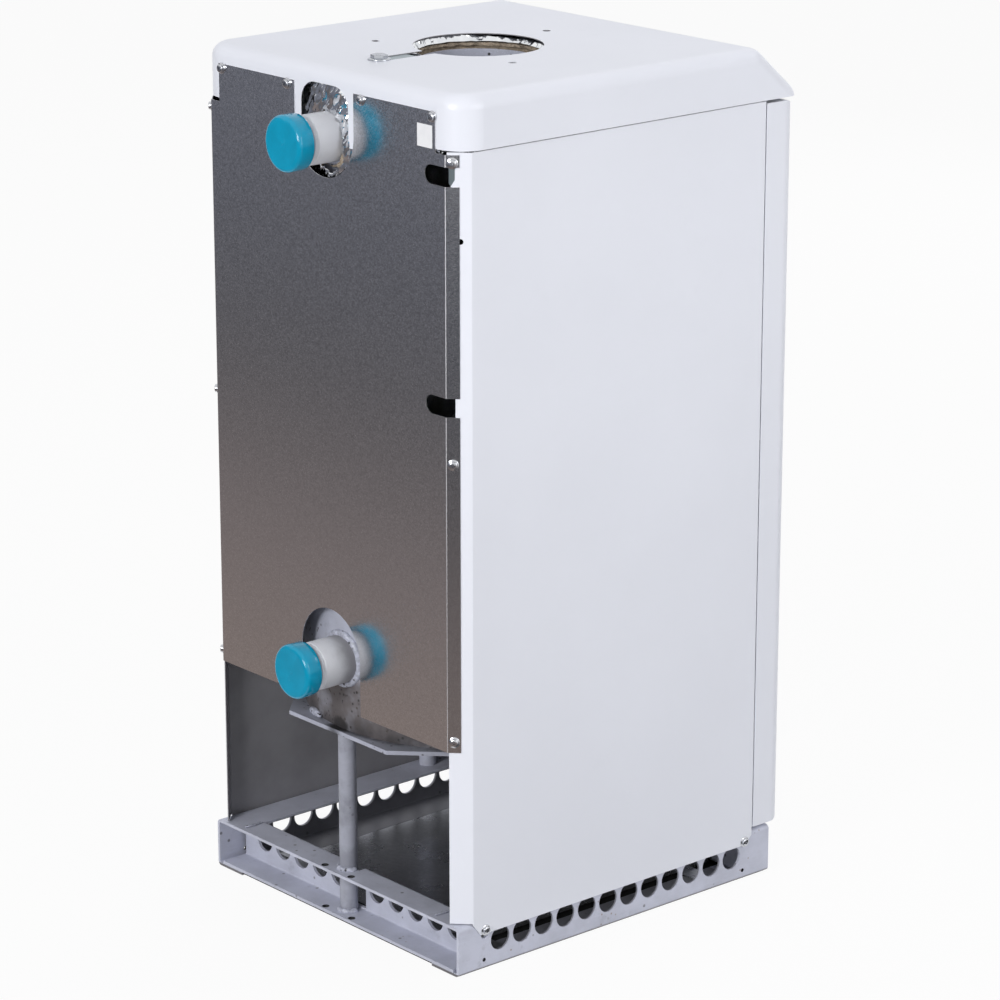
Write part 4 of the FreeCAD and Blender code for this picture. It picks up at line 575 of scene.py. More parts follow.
def frame_grey(colours):
    tone = colours.frame_paint
    f, skin, cloud, brush, _ = painted("frame_grey", tone)
    x, y, z = f.axes()

    def near(across, along, radius):
        return apart(across, along) < radius

    post = near(x - POST.x, y - POST.y, POST_RADIUS + 0.4 * MM)
    skin = f.mix(post * (0.45 + 0.45 * f.step(cloud, 0.4, 0.6)), skin, tint(tone, 0.45))
    # Painted shade inside the side rails' channels, where the casing keeps the light out.
    rail_inside_shade = (abs(x) < RAIL_HIGH.x - 1.2 * MM) * (abs(x) > RAIL_HIGH.x - 42.0 * MM)
    rail_inside_shade = rail_inside_shade * (abs(y - RAIL_MIDDLE) < RAIL_HALF - 44.0 * MM) * (z < RAIL_HIGH.z - 2.2 * MM)
    skin = f.mix(rail_inside_shade * 0.7, skin, (0.10, 0.098, 0.105))
    # Painted shadow: a dark brown band along the bottom 3 mm, where the rails meet the floor.
    skin = f.mix(f.step(z, 3.2 * MM, 2.0 * MM) * 0.85, skin, (0.055, 0.045, 0.04))
    # Painted shade: the floor and drain holes, with a thin ring round them, are painted near
    # black.
    hole = near(
        abs(x) - FLOOR_HOLE.x, abs(y - RAIL_MIDDLE) - FLOOR_HOLE.y, FLOOR_HOLE_RADIUS
    )
    for along, height in DRAIN_HOLES:
        hole = hole.larger(near(y - along, z - height, DRAIN_RADIUS) * (abs(x) > DRAIN_X))
    skin = f.mix(hole, skin, (0.012, 0.012, 0.014))
    return f.done(skin, 0.33 + cloud * 0.16, cloud * 0.6 + brush * 0.4, 0.00025)


def vessel_grey(colours):
    tone = colours.vessel_paint
    f, skin, cloud, brush, black = painted("vessel_grey", tone, specks=1.0, grime=0.6)
    x, y, z = f.axes()
    # Painted shade and a painted brown reflection of the floor: the wall darkens below the lower
    # pipe.
    low_wall_shade = f.step(z, LOW_WALL_SHADE_TOP, LOW_WALL_SHADE_TOP - 18.0 * MM)
    low_wall_shade = low_wall_shade * (0.6 + 0.4 * f.step(f.noise(34.0), 0.3, 0.55))
    skin = f.mix(low_wall_shade * 0.9, skin, (0.10, 0.083, 0.078))
    pits = f.specks(170.0, 0.30, 0.16, 40.0, 0.44, 0.54)
    pits = pits * f.step(z, PITS_TOP, PITS_TOP - 25.0 * MM)
    skin = f.mix(pits * 0.9, skin, (0.03, 0.028, 0.028))
    reach = apart((x - BURNT_X) / (16.0 * MM), (z - BURNT_Z) / (12.0 * MM))
    burnt = f.step(reach + (cloud - 0.5) * 1.2, 1.15, 0.55) * (y > 0.0)
    # Painted shade at the foot of the wall, by the shelf, joined with the real burn mark.
    foot_shade_and_burn = f.step(z, FOOT_SHADE_TOP, BURNT_Z) * f.step(f.noise(30.0), 0.3, 0.6)
    foot_shade_and_burn = (foot_shade_and_burn * 0.7).larger(burnt)
    grit = f.step(f.cells(520.0), 0.30, 0.16) * f.step(z, COLLAR_Z, COLLAR_Z + 10.0 * MM)
    skin = f.mix(grit * 0.5, skin, tint(tone, 1.6))
    return f.done(
        f.mix(foot_shade_and_burn, skin, (0.032, 0.030, 0.032)),
        0.36 + cloud * 0.2, cloud * 0.5 + brush * 0.2 - black * 0.6, 0.0005,
    )


def plate_grey(colours):
    tone = tint(colours.vessel_paint, 0.92)
    f, skin, cloud, _, _ = painted("plate_grey", tone, specks=0.8, grime=0.6)
    x, y, _ = f.axes()
    # Darker near the vessel wall: soot, and painted shade in the corner where the wall meets the
    # plate.
    soot_and_wall_shade = f.step(apart(x, y), 0.184, 0.176) * f.step(f.noise(24.0), 0.40, 0.58)
    spot = apart((x - BURNT_X) / (17.0 * MM), (y - BURNT_Y) / (8.0 * MM))
    burnt = f.step(spot + (cloud - 0.5) * 1.2, 1.15, 0.55)
    # Painted shade: the plate's top faces are darker than its edges, which stay lit.
    _, _, up = f.facing()
    shelf = f.step(up, 0.4, 0.8) * f.step(cloud, 0.78, 0.50)
    skin = f.mix(shelf * 0.35, skin, (0.085, 0.086, 0.10))
    skin = f.mix(soot_and_wall_shade * 0.8, skin, (0.035, 0.034, 0.04))
    return f.done(f.mix(burnt, skin, (0.012, 0.012, 0.014)), 0.32 + cloud * 0.2, cloud, 0.0003)


def pipe_light(colours):
    f = Finish("pipe_light")
    tone = colours.pipe
    cloud = f.noise(40.0, 4.0)
    x, y, z = f.axes()
    # Painted shade on the lower pipe near its root, inside the rear panel's opening.
    edge = y + (cloud - 0.5) * 0.02
    root_shade = f.step(edge, ROOT_SHADE_Y, ROOT_SHADE_Y - 17.0 * MM) * (z < MIDDLE[2])
    smear = f.step(f.noise(90.0, 5.0), 0.55, 0.75)
    skin = f.mix(smear * 0.25, tone, tint(tone, 0.7))
    rise = abs(z - SUPPLY_Z).smaller(abs(z - RETURN_Z))
    groove = f.step(apart(x, rise), PIPE_RADIUS - 0.2 * MM, PIPE_RADIUS - 0.7 * MM)
    skin = f.mix(groove * (y > GROOVE_Y) * 0.5, skin, (0.10, 0.10, 0.11))
    skin = f.mix(root_shade, skin, (0.33, 0.325, 0.35))
    return f.done(skin, 0.42 + cloud * 0.15, cloud, 0.00015)


def weld_grey(colours):
    f = Finish("weld_grey")
    tone = tint(colours.vessel_paint, 1.08)
    cloud = f.noise(260.0, 4.0)
    pit = f.specks(210.0, 0.34, 0.18, 50.0, 0.42, 0.54)
    skin = f.mix(f.step(cloud, 0.35, 0.7), tint(tone, 0.8), tint(tone, 1.25))
    return f.done(
        f.mix(pit, skin, (0.035, 0.033, 0.035)),
        0.24 + cloud * 0.15, cloud * 0.6 - pit * 0.8, 0.0008,
    )


def cap_blue(colours):
    f = Finish("cap_blue", Coat_Roughness=0.03, IOR=1.33)
    tone = colours.cap
    cloud = f.noise(60.0, 3.0)
    scuff = f.step(f.noise(180.0, 5.0, 0.6, 1.0), 0.62, 0.72)
    skin = f.mix(f.step(cloud, 0.3, 0.7), tint(tone, 0.93), tint(tone, 1.06))
    return f.feed(
        Base_Color=f.mix(scuff * 0.05, skin, (0.15, 0.45, 0.6)),
        Roughness=0.10 + cloud * 0.05 + scuff * 0.1,
        Coat_Weight=0.35 - scuff * 0.2,
        Normal=f.bump(cloud, 0.00005),
    )


def metal(name, tone, dull, rough, grain=240.0, mark=0.35, relief=0.00004):
    """Plain metal with fine grain and a little tarnish."""
    f = Finish(name, Metallic=1.0)
    fine = f.noise(grain, 3.0)
    cloud = f.noise(34.0, 5.0, 0.6)
    skin = f.mix(f.step(cloud, 0.45, 0.75) * mark, tone, dull)
    return f.done(
        f.mix(fine * 0.2, skin, tint(tone, 0.8)),
        rough + cloud * 0.12 + fine * 0.05, fine, relief,
    )


def plastic(name, tone, rough, relief=0.00005, worn=None):
    """Moulded plastic with a fine texture and faint rubbing."""
    f = Finish(name)
    fine = f.noise(1300.0, 2.0)
    cloud = f.noise(30.0, 4.0)
    rub = f.step(f.noise(120.0, 5.0), 0.6, 0.75)
    skin = f.mix(f.step(cloud, 0.3, 0.7), tint(tone, 0.9), tint(tone, 1.1))
    return f.done(
        f.mix(rub * 0.15, skin, worn or tint(tone, 1.8)),
        rough + fine * 0.08 + rub * 0.08, fine, relief,
    )


def foil(colours):
    f = Finish("foil", Metallic=1.0)
    fold = f.noise(210.0, 3.0, 0.5, 0.6)
    cloud = f.noise(50.0, 4.0)
    stain = f.step(f.noise(26.0, 4.0), 0.62, 0.78)
    skin = f.mix(f.step(cloud, 0.3, 0.7), (0.70, 0.72, 0.75), (0.86, 0.87, 0.89))
    return f.done(
        f.mix(stain * 0.2, skin, (0.42, 0.33, 0.25)),
        0.04 + cloud * 0.04 + stain * 0.15, fold, 0.00016,
    )


def wool(colours):
    f = Finish("wool")
    tone = colours.wool
    fibre = f.noise(1.0, 5.0, 0.7, 0.8, vector=f.stretched((700.0, 700.0, 1500.0)))
    cross = f.noise(1.0, 4.0, 0.7, 1.2, vector=f.stretched((1500.0, 500.0, 600.0)))
    tuft = f.noise(150.0, 5.0, 0.65)
    strand = fibre * 0.5 + cross * 0.5
    skin = f.mix(f.step(tuft, 0.3, 0.7), tint(tone, 0.55), tint(tone, 1.25))
    skin = f.mix(f.step(strand, 0.4, 0.65) * 0.7, skin, tint(tone, 1.7))
    return f.done(skin, 0.86 + tuft * 0.12, strand * 0.6 + tuft * 0.4, 0.002)


def paper(colours):
    f = Finish("paper")
    fibre = f.noise(900.0, 4.0)
    cloud = f.noise(60.0, 3.0)
    skin = f.mix(fibre, (0.76, 0.76, 0.785), (0.84, 0.84, 0.86))
    return f.done(
        f.mix(f.step(cloud, 0.5, 0.75) * 0.25, skin, (0.66, 0.66, 0.7)),
        0.5 + fibre * 0.15, fibre, 0.00004,
    )


def clear_glass(colours):
    f = Finish("clear_glass", Transmission_Weight=1.0, IOR=1.46)
    smear = f.noise(50.0, 4.0)
    skin = f.mix(smear, (0.93, 0.96, 0.96), (0.98, 0.99, 0.99))
    return f.feed(Base_Color=skin, Roughness=0.02 + f.step(smear, 0.5, 0.8) * 0.05)


def ceramic(colours):
    f = Finish("ceramic", Coat_Roughness=0.1)
    cloud = f.noise(200.0, 4.0)
    heat = f.step(f.noise(45.0), 0.55, 0.75)
    skin = f.mix(cloud, (0.72, 0.69, 0.63), (0.84, 0.82, 0.77))
    return f.feed(
        Base_Color=f.mix(heat * 0.5, skin, (0.4, 0.3, 0.22)),
        Roughness=0.35 + cloud * 0.15,
        Coat_Weight=0.4 - heat * 0.3,
        Normal=f.bump(cloud, 0.00004),
    )


def dial_face(colours):
    """White dial with a ring of marks about its centre."""
    f = Finish("dial_face")
    low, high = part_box("gauge_dial")
    centre = (low + high) / 2
    rim = (high.x - low.x) / 2
    x, _, z = f.axes()
    across, rise = x - centre.x, z - centre.z
    reach = apart(across, rise) / rim
    turn = f.node("ShaderNodeMath", {"operation": "ARCTAN2"}, {0: across, 1: rise})
    turn = turn * (180.0 / math.pi)
    marks = None
    for pitch, inner, width in ((10.0, 0.80, 0.012), (30.0, 0.70, 0.022)):
        beat = f.node(
            "ShaderNodeMath", {"operation": "PINGPONG"}, {0: turn, 1: pitch / 2}
        )
        line = (beat * (math.pi / 180.0) * reach) < width
        band = (reach > inner) * (reach < 0.90) * (abs(turn) < 121.0)
        marks = line * band if marks is None else marks.larger(line * band)
    cloud = f.noise(80.0)
    skin = f.mix(cloud, (0.80, 0.80, 0.77), (0.86, 0.86, 0.84))
    hot = (reach > 0.91) * (reach < 0.96) * (turn > 75.0) * (turn < 121.0)
    skin = f.mix(hot, skin, (0.55, 0.03, 0.02))
    return f.feed(
        Base_Color=f.mix(marks, skin, (0.02, 0.02, 0.02)),
        Roughness=0.45 + cloud * 0.1,
    )


def heated_steel(colours):
    """Plain steel, blued and scaled where the fire reaches it."""
    f = Finish("heated_steel", Metallic=0.9)
    cloud = f.noise(24.0, 5.0, 0.6)
    scale = f.step(f.noise(90.0, 5.0, 0.65), 0.5, 0.7)
    skin = f.mix(f.step(cloud, 0.3, 0.7), (0.30, 0.29, 0.29), (0.44, 0.43, 0.43))
    return f.done(
        f.mix(scale * 0.6, skin, (0.16, 0.13, 0.115)),
        0.36 + cloud * 0.2 + scale * 0.15, cloud * 0.5 + scale * 0.5, 0.0002,
    )


METALS = {
    "bright_zinc": ((0.58, 0.59, 0.62), (0.36, 0.36, 0.37), 0.10),
    "cast_alloy": ((0.56, 0.57, 0.58), (0.36, 0.36, 0.37), 0.4, 500.0, 0.4, 0.0002),
    "spring_steel": ((0.30, 0.36, 0.38), (0.18, 0.22, 0.23), 0.22),
    "brass": ((0.62, 0.43, 0.17), (0.34, 0.2, 0.09), 0.24),
    "plated": ((0.50, 0.52, 0.56), (0.32, 0.33, 0.35), 0.09),
}
PLASTICS = {
    "black_plastic": ((0.022, 0.022, 0.024), 0.42),
    "grey_plastic": ((0.17, 0.175, 0.19), 0.45),
    "red_plastic": ((0.42, 0.022, 0.018), 0.3, 0.00002, (0.6, 0.1, 0.08)),
    "pointer_black": ((0.02, 0.02, 0.02), 0.5),
}
MAKERS = {
    maker.__name__: maker
    for maker in (
        casing_white, zinc_sheet, tray_zinc, frame_grey, vessel_grey, plate_grey,
        pipe_light, weld_grey, cap_blue, foil, wool, paper, clear_glass, ceramic,
        dial_face, heated_steel,
    )
}
FINISHES = {}


def finish(name):
    """A finish by name, made when it is first asked for."""
    if name not in FINISHES:
        if name in METALS:
            FINISHES[name] = metal(name, *METALS[name])
        elif name in PLASTICS:
            FINISHES[name] = plastic(name, *PLASTICS[name])
        else:
            FINISHES[name] = MAKERS[name](bpy.context.scene.boiler_colours)
    return FINISHES[name]


CAD_FINISHES = {
    "casing_white": ("side_panel_left", "side_panel_right", "top_cover", "door_panel"),
    "zinc_sheet": ("rear_panel",),
    "tray_zinc": ("heat_shield_tray", "front_crossbar"),
    "frame_grey": (
        "base_rail_right", "base_rail_left", "base_rail_rear", "base_rail_front",
        "rear_post", "front_posts", "hinge_brackets",
    ),
    "vessel_grey": ("vessel_shell", "vessel_top_plate", "flue_collar", "burner_tunnel"),
    "plate_grey": ("vessel_bottom_plate",),
    "pipe_light": ("supply_nipple", "return_nipple"),
    "heated_steel": (
        "firebox_shell", "firebox_crown", "fire_tube", "turbulator",
        "burner_plate", "burner_tubes", "pilot_burner", "peephole_flap",
    ),
    "paper": ("blank_label",),
    "bright_zinc": ("hinge_pins", "valve_spindle", "gas_manifold", "door_magnet"),
    "cast_alloy": ("gas_valve",),
    "spring_steel": ("flange_spring_nut", "cover_nut_plate"),
    "brass": ("gas_jets", "gas_inlet_pipe", "thermocouple", "thermostat_bulb"),
    "plated": ("gauge_case",),
    "black_plastic": ("door_handle_cup", "control_knob", "door_bushes"),
    "grey_plastic": ("window_bezel",),
    "red_plastic": ("igniter_button",),
    "pointer_black": ("gauge_pointer",),
    "dial_face": ("gauge_dial",),
    "clear_glass": ("window_lens", "gauge_glass"),
    "ceramic": ("igniter_electrode",),
}


# ------------------------------------------------------------------ operators


class BOILER_OT_finishes(bpy.types.Operator):
    """Give every CAD node its finish"""

    bl_idname = "boiler.finishes"
    bl_label = "Finishes"

    def execute(self, context):
        for look, nodes in CAD_FINISHES.items():
            for node in nodes:
                paint(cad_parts[node].data, look)
        return {"FINISHED"}


def push_cap(name, low, high, sizes):
    """A cup-shaped plastic cap with a rounded edge and a moulding mark."""
    radius = (high.x - low.x) / 2
    mark = 0.3 * MM
    end_y = high.y - mark
    fresh()
    bpy.ops.mesh.primitive_cylinder_add(
        vertices=96,
        radius=radius,
        depth=end_y - low.y,
        location=(0.0, (low.y + end_y) / 2, (low.z + high.z) / 2),
        rotation=(math.pi / 2, 0.0, 0.0),
    )
    cap = begin(name)
    centre = (0.0, 0.0, (low.z + high.z) / 2)
    pick(lambda c, n: n.y < -0.9)
    bpy.ops.mesh.inset(thickness=sizes.cap_wall)
    extrude((0.0, end_y - low.y - sizes.cap_wall, 0.0))
    pick(lambda c, n: n.y > 0.9 and c.y > end_y - 0.1 * MM)
    bpy.ops.mesh.inset(thickness=sizes.cap_edge + 1.5 * MM)
    bpy.ops.mesh.inset(thickness=1.2 * MM, depth=-0.12 * MM)
    bpy.ops.mesh.inset(thickness=radius - sizes.cap_edge - 4.2 * MM, depth=0.02 * MM)
    bpy.ops.mesh.inset(thickness=0.3 * MM, depth=0.3 * MM)
    pick(lambda c, n: c.y > end_y - 0.05 * MM and
         (Vector((c.x, 0.0, c.z)) - Vector(centre)).length > radius - 0.1 * MM, "EDGE")
    bpy.ops.mesh.bevel(offset=sizes.cap_edge, segments=8, affect="EDGES")
    pick(lambda c, n: c.y < low.y + 0.05 * MM, "EDGE")
    bpy.ops.mesh.bevel(offset=0.5 * MM, segments=2, affect="EDGES")
    end()
    smooth(cap, 30.0)
    return cap


class BOILER_OT_caps(bpy.types.Operator):
    """Model the two push-on caps on the pipe ends"""

    bl_idname = "boiler.caps"
    bl_label = "Pipe caps"

    def execute(self, context):
        sizes = context.scene.boiler_sizes
        cap = push_cap("supply_pipe_cap", SUPPLY_LOW, SUPPLY_HIGH, sizes)
        dress(cap, "cap_blue", "blue_cap", "supply_cap", body="supply_plug")
        cap = push_cap("return_pipe_cap", RETURN_LOW, RETURN_HIGH, sizes)
        dress(cap, "cap_blue", "blue_cap", "return_cap", body="return_plug")
        return {"FINISHED"}


def screw_model(sizes):
    """A flanged pan-head screw with a cross recess, standing on the origin."""
    flange, head, rise = sizes.flange_radius, sizes.head_radius, sizes.head_rise
    sheet = 0.7 * MM
    fresh()
    bpy.ops.mesh.primitive_cylinder_add(
        vertices=48, radius=flange, depth=sheet, location=(0.0, 0.0, sheet / 2)
    )
    screw = begin("screw_model")
    pick(lambda c, n: n.z > 0.9)
    bpy.ops.mesh.inset(thickness=flange - head, depth=0.5 * MM)
    lift = rise - sheet - 0.5 * MM
    extrude((0.0, 0.0, 0.50 * lift))
    extrude((0.0, 0.0, 0.25 * lift), 0.94)
    extrude((0.0, 0.0, 0.17 * lift), 0.84)
    extrude((0.0, 0.0, 0.08 * lift), 0.66)
    pick(lambda c, n: n.z < -0.9)
    bpy.ops.mesh.inset(thickness=flange - 1.9 * MM)
    extrude((0.0, 0.0, -8.0 * MM))
    extrude((0.0, 0.0, -3.0 * MM), 0.2)
    pick(lambda c, n: Vector((c.x, c.y)).length > flange - 0.1 * MM, "EDGE")
    bpy.ops.mesh.bevel(offset=0.2 * MM, segments=2, affect="EDGES")
    end()
    for turn in (0.0, math.pi / 2):
        fresh()
        bpy.ops.mesh.primitive_cube_add(size=1.0, location=(0.0, 0.0, rise))
        cross = bpy.context.object
        cross.scale = (4.6 * MM, 1.1 * MM, 3.4 * MM)
        cross.rotation_euler = (0.0, 0.0, turn)
        begin("cross_cut")
        pick(lambda c, n: n.z < -0.9)
        bpy.ops.transform.resize(value=(0.45, 0.45, 1.0), center_override=(0.0, 0.0, 0.0))
        end()
        apply_modifier(screw, "BOOLEAN", object=cross, operation="DIFFERENCE", solver="EXACT")
        bpy.data.objects.remove(cross)
    smooth(screw, 32.0)
    return screw


def seats(node, axis_of, rise):
    """Where each screw of a node sits, as matrices that stand a model there."""
    places = []
    for k, points in enumerate(islands(node)):
        axis = axis_of(middle(points)).normalized()
        side = axis.cross(Vector((0.0, 0.0, 1.0))).normalized()
        up = side.cross(axis)
        spot = Vector((0.0, 0.0, 0.0))
        for way in (side, up):
            along = [p.dot(way) for p in points]
            spot += way * (min(along) + max(along)) / 2
        spot += axis * (max(p.dot(axis) for p in points) - rise)
        turn = Matrix.Rotation(FIRST_TURN + NEXT_TURN * k, 4, axis)
        basis = Matrix((-side, up, axis)).transposed().to_4x4()
        places.append(Matrix.Translation(spot) @ turn @ basis)
    return places


class BOILER_OT_screws(bpy.types.Operator):
    """Model one cross-recess screw and copy it to the rear and side panels"""

    bl_idname = "boiler.screws"
    bl_label = "Panel screws"

    def execute(self, context):
        sizes = context.scene.boiler_sizes

        def rear(spot):
            if abs(spot.x) > CORNER_X:
                return Vector((math.copysign(1.0, spot.x), 1.0, 0.0))
            return Vector((0.0, 1.0, 0.0))

        def side(spot):
            return Vector((math.copysign(1.0, spot.x), 0.0, 0.0))

        for name, node, axis_of in (
            ("rear_screws", "rear_panel_screws", rear),
            ("side_screws", "side_panel_screws", side),
        ):
            places = seats(node, axis_of, sizes.head_rise)
            piece = copies(screw_model(sizes), places, name)
            dress(piece, "bright_zinc", "zinc", node)
        return {"FINISHED"}


class BOILER_OT_cover_bolt(bpy.types.Operator):
    """Model the flanged hexagon bolt on the top cover"""

    bl_idname = "boiler.cover_bolt"
    bl_label = "Cover bolt"

    def execute(self, context):
        sizes = context.scene.boiler_sizes
        low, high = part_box("cover_screw")
        spot = (low + high) / 2
        radius = (high.x - low.x) / 2
        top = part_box("top_cover")[1].z
        fresh()
        bpy.ops.mesh.primitive_cylinder_add(
            vertices=64, radius=radius, depth=1.0 * MM,
            location=(spot.x, spot.y, top + 0.5 * MM),
        )
        flange = begin("cover_bolt_flange")
        pick(lambda c, n: n.z > 0.9)
        bpy.ops.mesh.inset(thickness=radius - sizes.bolt_head - 0.3 * MM, depth=1.0 * MM)
        pick(lambda c, n: n.z < -0.9)
        bpy.ops.mesh.inset(thickness=radius - sizes.bolt_shank)
        extrude((0.0, 0.0, low.z + 1.5 * MM - top))
        extrude((0.0, 0.0, -1.5 * MM), 0.6, (spot.x, spot.y, 0.0))
        pick(lambda c, n: Vector((c.x - spot.x, c.y - spot.y)).length > radius - 0.1 * MM, "EDGE")
        bpy.ops.mesh.bevel(offset=0.25 * MM, segments=3, affect="EDGES")
        end()
        fresh()
        bpy.ops.mesh.primitive_cylinder_add(
            vertices=6, radius=sizes.bolt_head, depth=high.z - top - 1.0 * MM,
            location=(spot.x, spot.y, (high.z + top + 1.0 * MM) / 2),
            rotation=(0.0, 0.0, 0.3),
        )
        head = begin("cover_bolt_head")
        pick(lambda c, n: n.z > 0.9)
        bpy.ops.mesh.inset(thickness=1.3 * MM)
        bpy.ops.mesh.inset(thickness=0.6 * MM, depth=-0.3 * MM)
        pick(lambda c, n: c.z > high.z - 0.05 * MM and
             Vector((c.x - spot.x, c.y - spot.y)).length > sizes.bolt_head - 0.3 * MM, "EDGE")
        bpy.ops.mesh.bevel(offset=0.8 * MM, segments=3, affect="EDGES")
        end()
        bolt = join([flange, head], "cover_bolt")
        smooth(bolt, 32.0)
        dress(bolt, "plated", "zinc", "cover_screw")
        return {"FINISHED"}


def lumpy(piece, coarse, fine):
    """Lumps of a hand-made weld."""
    crease(piece, "CLOUDS", 7.0 * MM, coarse)
    crease(piece, "CLOUDS", 2.4 * MM, fine)
    smooth(piece, 60.0)


def post_bead(radius, height):
    """A weld along the outer side of the rear post."""
    bpy.ops.mesh.primitive_torus_add(
        major_radius=radius,
        minor_radius=2.6 * MM,
        major_segments=96,
        minor_segments=16,
        location=(POST.x, POST.y, height),
    )
    ring = begin("post_bead")
    pick(lambda c, n: c.y < POST.y - 1.0 * MM)
    bpy.ops.mesh.delete(type="FACE")
    bpy.ops.mesh.select_all(action="SELECT")
    bpy.ops.mesh.fill_holes(sides=0)
    end()
    return ring


def blob(name, spot, size, turn=0.0):
    """A drop of weld metal."""
    fresh()
    bpy.ops.mesh.primitive_uv_sphere_add(
        segments=32, ring_count=24, radius=0.5, location=spot,
        rotation=(0.0, 0.0, turn), scale=size,
    )
    piece = begin(name)
    bpy.ops.mesh.subdivide(number_cuts=1)
    end()
    return piece


class BOILER_OT_welds(bpy.types.Operator):
    """Model the lumpy weld beads of the pipes, the post and the rails"""

    bl_idname = "boiler.welds"
    bl_label = "Weld beads"

    def execute(self, context):
        bead = context.scene.boiler_sizes.bead_radius
        beads = []
        for points in islands("weld_beads"):
            spot, size = middle(points), spread(points)
            fresh()
            if size.x > 40 * MM and size.z > 40 * MM:
                bpy.ops.mesh.primitive_torus_add(
                    major_radius=PIPE_RADIUS + 1.5 * MM,
                    minor_radius=bead,
                    major_segments=140,
                    minor_segments=20,
                    location=(0.0, VESSEL_RADIUS + 0.4 * MM, spot.z),
                    rotation=(math.pi / 2, 0.0, 0.0),
                )
                ring = begin("pipe_bead")
                end()
                push(ring, lambda c, n: c - Vector(
                    (0.0, VESSEL_RADIUS - math.sqrt(VESSEL_RADIUS**2 - c.x**2), 0.0)))
            elif size.x > 14 * MM and size.y > 10 * MM:
                ring = post_bead(size.x / 2 - 2.2 * MM, spot.z - size.z / 2 + 0.6 * MM)
                foot = post_bead(size.x / 2 - 2.2 * MM, POST_LOW.z + 0.6 * MM)
                lumpy(foot, 2.6 * MM, 0.9 * MM)
                beads.append(foot)
            else:
                ring = blob("rail_bead", spot, [c * 0.9 for c in size])
            lumpy(ring, 1.8 * MM, 0.9 * MM)
            beads.append(ring)
        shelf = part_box("vessel_bottom_plate")[1].z
        for turn in (17.0, -44.0, 78.0, 132.0, 187.0, 239.0, 288.0):
            angle = math.radians(turn)
            reach = VESSEL_RADIUS + 1.0 * MM
            spot = (math.sin(angle) * reach, math.cos(angle) * reach, shelf + 1.0 * MM)
            stitch = blob("shelf_bead", spot, (26.0 * MM, 8.0 * MM, 8.0 * MM), -angle)
            lumpy(stitch, 2.4 * MM, 1.0 * MM)
            beads.append(stitch)
        piece = join(beads, "weld_lumps")
        dress(piece, "weld_grey", "grey_paint", "weld_beads")
        return {"FINISHED"}


def ragged(angle, seed):
    """A torn edge's waver, from -1 to 1, round a circle."""
    ring = Vector((math.cos(angle) * 3.0, math.sin(angle) * 3.0, seed))
    return noise.noise(ring) + 0.5 * noise.noise(ring * 3.1) + 0.25 * noise.noise(ring * 7.7)


def bulge(c):
    """How far the lagging swells out beside the upper pipe, on its left."""
    angle = math.degrees(math.atan2(c.z - SUPPLY_Z, -c.x))
    return 5.6 * MM * math.exp(-((angle / 62.0) ** 2)) if c.y > 0.0 else 0.0


def sleeve(name, points, radius, depth, centre, opening, cuts, near, torn):
    """A tube round the vessel, open in front, cut fine and torn at the upper pipe."""
    fresh()
    bpy.ops.mesh.primitive_cylinder_add(
        vertices=points, radius=radius, depth=depth, end_fill_type="NOTHING",
        location=(0.0, 0.0, centre),
    )
    piece = begin(name)
    pick(lambda c, n: c.y < opening)
    bpy.ops.mesh.delete(type="FACE")
    for height in cuts:
        bpy.ops.mesh.select_all(action="SELECT")
        bpy.ops.mesh.bisect(plane_co=(0.0, 0.0, height), plane_no=(0.0, 0.0, 1.0))
    pick(lambda c, n: c.y > 0 and abs(c.x) < near and c.z > SUPPLY_Z - near)
    bpy.ops.mesh.subdivide(number_cuts=3)
    pick(torn)
    bpy.ops.mesh.delete(type="FACE")
    return piece


